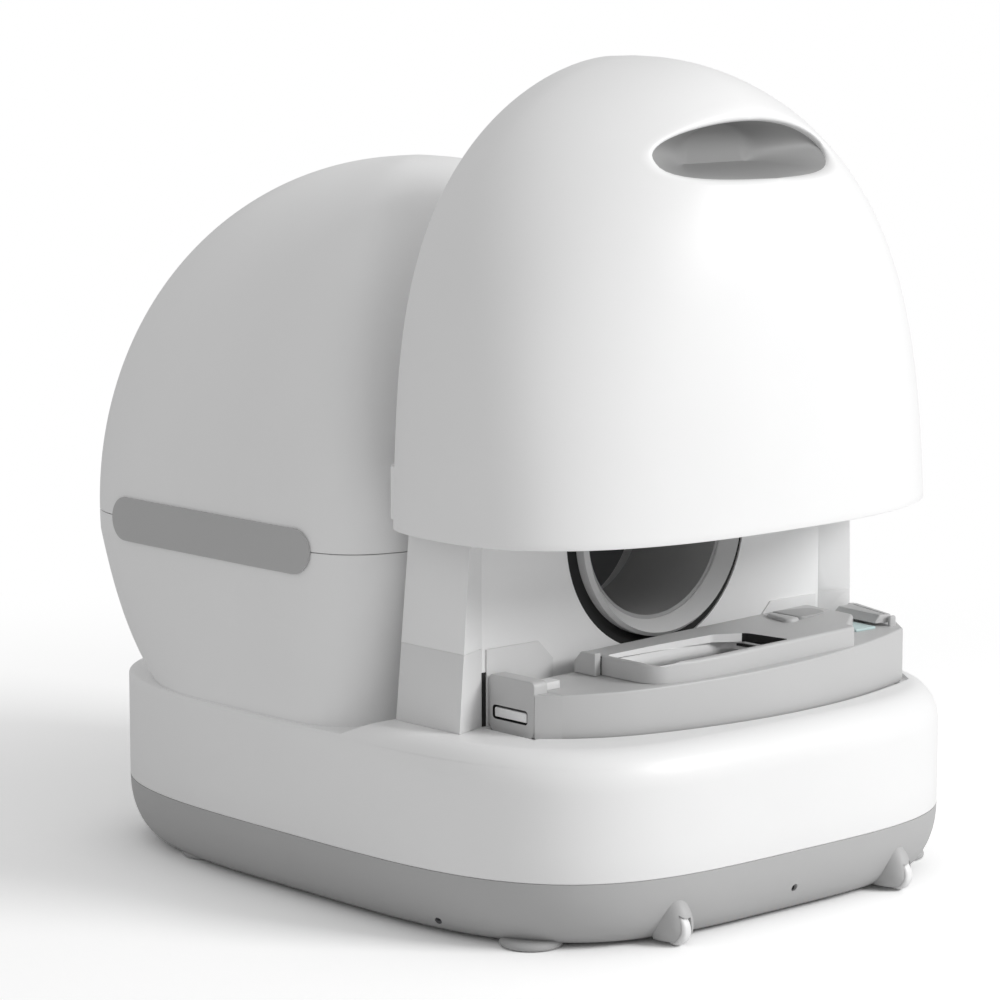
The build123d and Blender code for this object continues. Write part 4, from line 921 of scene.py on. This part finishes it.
def cup_ring(share, shrink=1):
    """A ring of the cup, from the mouth (0) towards the back wall (1)."""
    ring = []
    for angle, start in zip(around, mouth_ring):
        back = half_moon(angle, 38 * mm * shrink, 23 * mm * shrink, 15 * mm * shrink, 2.0, 2.6)
        end = Vector((back.x, cup_back, recess_middle - mm + back.y))
        point = start.lerp(end, share)
        low = floor_low + floor_rise * (point.y - floor_front)
        if share > 0:
            point.z = max(point.z, min(low, floor_high))
        ring.append(point)
    return ring


cup_rings = [cup_ring(share) for share in (0, 0.06, 0.15, 0.3, 0.45, 0.6, 0.75, 0.86)]
cup_rings += [cup_ring(0.93, 0.99), cup_ring(0.975, 0.95), cup_ring(1, 0.88)]
handle_cup = finished(ring_skin(cup_rings, False, True), "hand_cup", cup_painted_shade)
thicken(handle_cup, cup_wall, 1)
place(handle_cup, "handle_cup", "cover", "light_grey")

# Cover runners: two white ABS shoes bonded inside the cover's rim, which embrace the
# rails. Their outer side follows the cover's wall.
runner_low = 305 * mm
runner_high = 345 * mm
half_x, reach, centre, power = cover_sizes(runner_low)
plan = [(193.4 * mm, -79 * mm), (193.4 * mm, -86.5 * mm), (217 * mm, -86.5 * mm)]
plan.append((217 * mm, -122 * mm))
for y in (-122, -115, -108, -101, -94.2):
    share = abs(y * mm - centre) / reach
    plan.append((half_x * (1 - share**power) ** (1 / power) - cover_wall, y * mm))
plan += [(219 * mm, -87 * mm), (211 * mm, -79 * mm)]
shoes = []
for side in (-1, 1):
    shoes.append((prism([(side * x, y) for x, y in plan], runner_low, runner_high), 0))
runners = joined("runner_shoes", [white_abs], *shoes)
place(runners, "cover_runners", "cover", "white_satin")

# Waste bin: the dark ABS box, moulded in one piece, that stands in the base under the
# tray and takes the filled bag.
dress("waste_bin", dark_abs, 0.6)

# Bagging tray: a grey ABS tray with a top that rises to the right, laid in the deck's
# pocket. Its front is one bow with a rounded foot; two lugs at its right end hold a pin.
# Moulded ABS in cool grey: satin, with soft lights on its upper edges.
grey_abs = moulded_plastic("grey_abs", "C5C5C5", 0.45)


def tray_top(x):
    """Height of the tray's sloped top."""
    return 186.3 * mm + 0.0255 * x


def inward(plan, amount):
    """A closed plan moved inwards along its own normals; the plan runs anticlockwise."""
    moved = []
    for number, point in enumerate(plan):
        before, after = plan[number - 1], plan[(number + 1) % len(plan)]
        first = (Vector(point[:2]) - Vector(before[:2])).normalized()
        second = (Vector(after[:2]) - Vector(point[:2])).normalized()
        normals = Vector((-first.y, first.x)) + Vector((-second.y, second.x))
        square = max(0.3, normals.length_squared / 2)
        moved.append(Vector(point[:2]) + normals * amount / square)
    return moved


def rounded_plan(corners):
    """A closed plan from corners given as x, y and radius, in mm."""
    plan = []
    for number, (x, y, radius) in enumerate(corners):
        here = Vector((x, y)) * mm
        before = Vector(corners[number - 1][:2]) * mm
        after = Vector(corners[(number + 1) % len(corners)][:2]) * mm
        if not radius:
            plan.append(here)
            continue
        back, on = (before - here).normalized(), (after - here).normalized()
        half = math.acos(max(-1, min(1, back.dot(on)))) / 2
        reach = radius * mm / math.tan(half)
        centre = here + (back + on).normalized() * radius * mm / math.sin(half)
        start, end = here + back * reach, here + on * reach
        for step in range(9):
            spot = start.lerp(end, step / 8) - centre
            plan.append(centre + spot.normalized() * radius * mm)
    return plan


def slab(plan, low, high, foot=0.0, brow=0.0):
    """A solid over a plan, its lower and upper edges rounded; high may follow X."""
    rings = []
    steps = (0, 22.5, 45, 67.5, 90)
    for degrees in steps if foot else (90,):
        turn = math.radians(degrees)
        ring = inward(plan, foot * (1 - math.sin(turn)))
        rings.append([Vector((p.x, p.y, low + foot * (1 - math.cos(turn)))) for p in ring])
    for degrees in reversed(steps) if brow else (90,):
        turn = math.radians(degrees)
        ring = inward(plan, brow * (1 - math.sin(turn)))
        drop = brow * (1 - math.cos(turn))
        rings.append(
            [Vector((p.x, p.y, (high(p.x) if callable(high) else high) - drop)) for p in ring]
        )
    return ring_skin(rings)


tray_low = 147 * mm
tray_foot = 3.5 * mm
tray_brow = 1.6 * mm
nose_top = 181.9 * mm
lug_half = 3
lug_low = 189 * mm
lug_top = 199.5 * mm
tray_solid = slab(tray_plan(0), tray_low, tray_top, tray_foot, tray_brow)
tray_body = finished(tray_solid, "tray_body", grey_abs)
bag_hole = [
    (-92.4, -239.4, 12.4),
    (86.4, -239.4, 12.4),
    (86.4, -172.6, 12.4),
    (-92.4, -172.6, 12.4),
]
carve(tray_body, prism(rounded_plan(bag_hole), 0.1, overhead))
nose = [point for point in tray_turn_points(0) if point.x < tray_left + 2.5 * mm]
nose_mesh = prism(nose + [Vector((nose[-1].x, -204.2 * mm))], tray_low + 2 * mm, nose_top)
pin_start, pin_way = Vector((189.73, -224.07)), Vector((0.2904, 0.9569))
pin_across = Vector((pin_way.y, -pin_way.x))
pin_lugs = []
for near, far in ((-4.2, -0.4), (58.9, 62.7)):
    corners = []
    for along, side in ((near, 1), (far, 1), (far, -1), (near, -1)):
        corner = pin_start + pin_way * along + pin_across * side * lug_half
        corners.append((*corner, 1.3))
    pin_lugs.append((slab(rounded_plan(corners), lug_low, lug_top, 0, 1.2 * mm), 0))
bagging_tray = joined("bagging_tray", [grey_abs], (tray_body, 0), (nose_mesh, 0), *pin_lugs)
place(bagging_tray, "tray_frame", "tray", "grey_satin")

# End cap: the grey ABS cheek at the tray's left end, with rounded lower corners, and
# the white latch slider sunk in its dark slot.
cap_profile = [(-204, 147, 9), (-153.5, 147, 9), (-153.5, 191.3, 4), (-204, 191.3, 4)]
cap_right = tray_left - 0.2 * mm
cap_solid = slab(rounded_plan(cap_profile), cap_left, cap_right, 1.0 * mm, 1.0 * mm)
end_cap = finished(stand_up(cap_solid), "end_cap_cheek", grey_abs)
slot_profile = [(-196.9, 157.8, 3), (-158.1, 157.8, 3), (-158.1, 168.6, 3), (-196.9, 168.6, 3)]
carve(end_cap, stand_up(prism(rounded_plan(slot_profile), -0.19, cap_left + 9 * mm)))
end_cap.data.materials.append(black_rubber)
for face in end_cap.data.polygons:
    x, y, z = face.center / mm
    if -179.7 < x < -168 and -198 < y < -157 and 156 < z < 170:
        face.material_index = 1
place(end_cap, "end_cap", "tray", "grey_satin")
dress("end_latch", white_abs, 0.6)
dress("cap_window", pale_abs, 0.6)

# Bag ring: the grey ABS frame that clips the bag's edge onto the tray. It has a lug at its left end
# and a thin film skirt inside. A black pad and black inner walls at its right end paint the shade
# under the ring's rim, and a black plate in the lug's slit paints the slit's shadow.
ring_rise = 15.5 * mm
# Blown polyethylene film: white, smooth and a little cloudy.
film = moulded_plastic("bag_film", "F8F8F8", 0.35, 6.0, 0.05)
ring_outline = [
    (-97, -167, 3.2),
    (-97, -243, 20),
    (-60, -253.5, 0),
    (-31, -255.6, 0),
    (30, -256, 0),
    (113.5, -256, 3.5),
    (117, -246, 3.5),
    (148, -222, 4),
    (152.3, -167, 3.2),
]
ring_hole = [
    (-94.5, -192, 4),
    (-94.5, -246, 16),
    (-60, -249.6, 0),
    (-28, -251, 0),
    (42, -252, 2),
    (37, -212, 8),
    (14, -197, 8),
    (-40, -193, 0),
]
ring_under = [(-91, -239, 9), (85, -239, 9), (85, -174, 9), (-91, -174, 9)]
ring_low = tray_top(0) - 2 * mm
ring_solid = slab(
    rounded_plan(ring_outline), ring_low, lambda x: tray_top(x) + ring_rise, 0, 2.8 * mm
)
bag_ring = finished(ring_solid, "bag_ring_frame", grey_abs)
carve(
    bag_ring,
    prism(rounded_plan(ring_hole), 0.1, overhead),
    prism(rounded_plan(ring_under), 0.1, 0.196),
)
hole_middle = Vector((-0.03, -0.222))
# Inner walls: film white, and black at the right end, where the black is painted shade under the
# rim.
for face in bag_ring.data.polygons:
    inwards = (hole_middle - face.center.xy).dot(face.normal.xy)
    x, y = face.center.x / mm, face.center.y / mm
    if abs(face.normal.z) < 0.4 and inwards > 0 and -96 < x < 43 and -252.5 < y < -192:
        face.material_index = 2 if x > 33 else 1
lug_profile = [
    (-189.5, 184, 0),
    (-166.6, 184, 0),
    (-166.6, 193, 2),
    (-174, 201, 2),
    (-189.5, 201.4, 1),
]
lug = stand_up(slab(rounded_plan(lug_profile), -104.2 * mm, -98 * mm, 0.6 * mm, 0.6 * mm))
lug_neck = block((-0.0985, -0.184, 0.184), (-0.0955, -0.1668, 0.1985))
# Painted shadow: a thin black plate for the dark slit beside the lug's neck.
slit_shadow = block((-0.0982, -0.1893, 0.1842), (-0.0968, -0.184, 0.1984))
# Painted shade: a thin black pad in the right end of the hole, under the rim.
shade_pad_plan = [(36.4, -250.5), (41.5, -251), (36.8, -212), (32, -206)]
hump = [(84, -213, 6), (100, -209, 2.6), (100, -178, 2.6), (92, -179, 6)]
bag_ring = joined(
    "bag_ring_frame",
    [grey_abs, film, black_rubber],
    (bag_ring, None),
    (lug, 0),
    (lug_neck, 0),
    (slit_shadow, 2),
    (prism([Vector(p) * mm for p in shade_pad_plan], 0.1925, 0.1945), 2),
    (slab(rounded_plan(hump), 0.2, 207.2 * mm, 0, 2.4 * mm), 0),
)
place(bag_ring, "bag_ring", "bag_ring", "grey_satin")

# Release button: a round-cornered grey ABS block on the ring's shelf, with a darker
# leaf on its slanted face.
# Moulded ABS darker than the ring, which sets the button off.
leaf_abs = moulded_plastic("leaf_abs", "A8A8A8", 0.45)
leaf = [(100.8, -209.6, 5), (140, -202, 11), (140, -181, 7), (100.8, -176.6, 3)]
leaf_solid = slab(rounded_plan(leaf), 0.2, lambda x: 0.2099 - 0.026 * x, 0, 1.2 * mm)
ring_button = finished(leaf_solid, "release_leaf", leaf_abs)
place(ring_button, "ring_button", "ring_button", "grey_satin")

# Bag: one thin white polyethylene bag that hangs through the tray, gathered in soft tucks and drawn
# in at its top.
bag_low = 30.4 * mm
bag_high = 196 * mm
bag_steps = 48
gather_low = 168 * mm
gather_reach = 22 * mm
film_thickness = 0.4 * mm
bag_rings = []
for step in range(bag_steps + 1):
    share = step / bag_steps
    level = bag_low + (bag_high - bag_low) * share
    gather = min(1, max(0, (level - gather_low) / gather_reach))
    gather = gather * gather * (3 - 2 * gather)
    right, back = 85 - 49 * gather, -174 - 20 * gather
    plan = rounded_plan([(-91, -238, 12), (right, -238, 12), (right, back, 12), (-91, back, 12)])
    middle = Vector((right - 91, back - 238)) / 2 * mm
    ring = []
    for point in plan:
        wave = noise.noise(Vector((point.x * 40, point.y * 40, level * 9)))
        tuck = (0.5 + 3 * math.sin(math.pi * share)) * abs(wave) * mm
        pull = (middle - point).normalized() * tuck
        ring.append(Vector((point.x + pull.x, point.y + pull.y, level)))
    bag_rings.append(ring)
bag = thicken(finished(ring_skin(bag_rings, True, False), "waste_bag", film), film_thickness)
place(bag, "bag_liner", "tray", "bag_white")

# Clamp bar: the grey ABS bar that holds the bag's tail, on a steel pin between the
# tray's lugs, with a clear teal silicone strip beside it.
bar_foot = [(209.2, -169.3), (180.4, -169.3), (176.6, -219.4), (192.6, -224.3)]
bar_brow = [(208.4, -170), (186, -170), (181.4, -219.4), (191.6, -223.4)]
bar_round = 1.4
bar_rings = []
for plan, inset, level in (
    (bar_foot, 0.7, 193.5),
    (bar_foot, 0.2, 193.7),
    (bar_foot, 0, 194.3),
    (bar_brow, 0, 199.2),
    (bar_brow, 0.3, 199.9),
    (bar_brow, 0.9, 200.2),
):
    ring = inward(rounded_plan([(x, y, bar_round) for x, y in plan]), inset * mm)
    bar_rings.append([Vector((p.x, p.y, level * mm)) for p in ring])
clamp_bar = finished(ring_skin(bar_rings), "clamp_bar_body", grey_abs)
bar_groove = [(202.4, -173), (200.6, -173), (187.2, -219.6), (189, -219.6)]
carve(clamp_bar, prism([Vector(p) * mm for p in bar_groove], 0.1988, 0.21))
place(clamp_bar, "clamp_bar", "clamp_bar", "grey_satin")
dress("clamp_pin", steel)
# Moulded clear silicone: pale teal with a wet gloss.
teal_silicone = moulded_plastic("teal_silicone", "C9DEDE", 0.2)
dress("seal_strip", teal_silicone, 0.4)
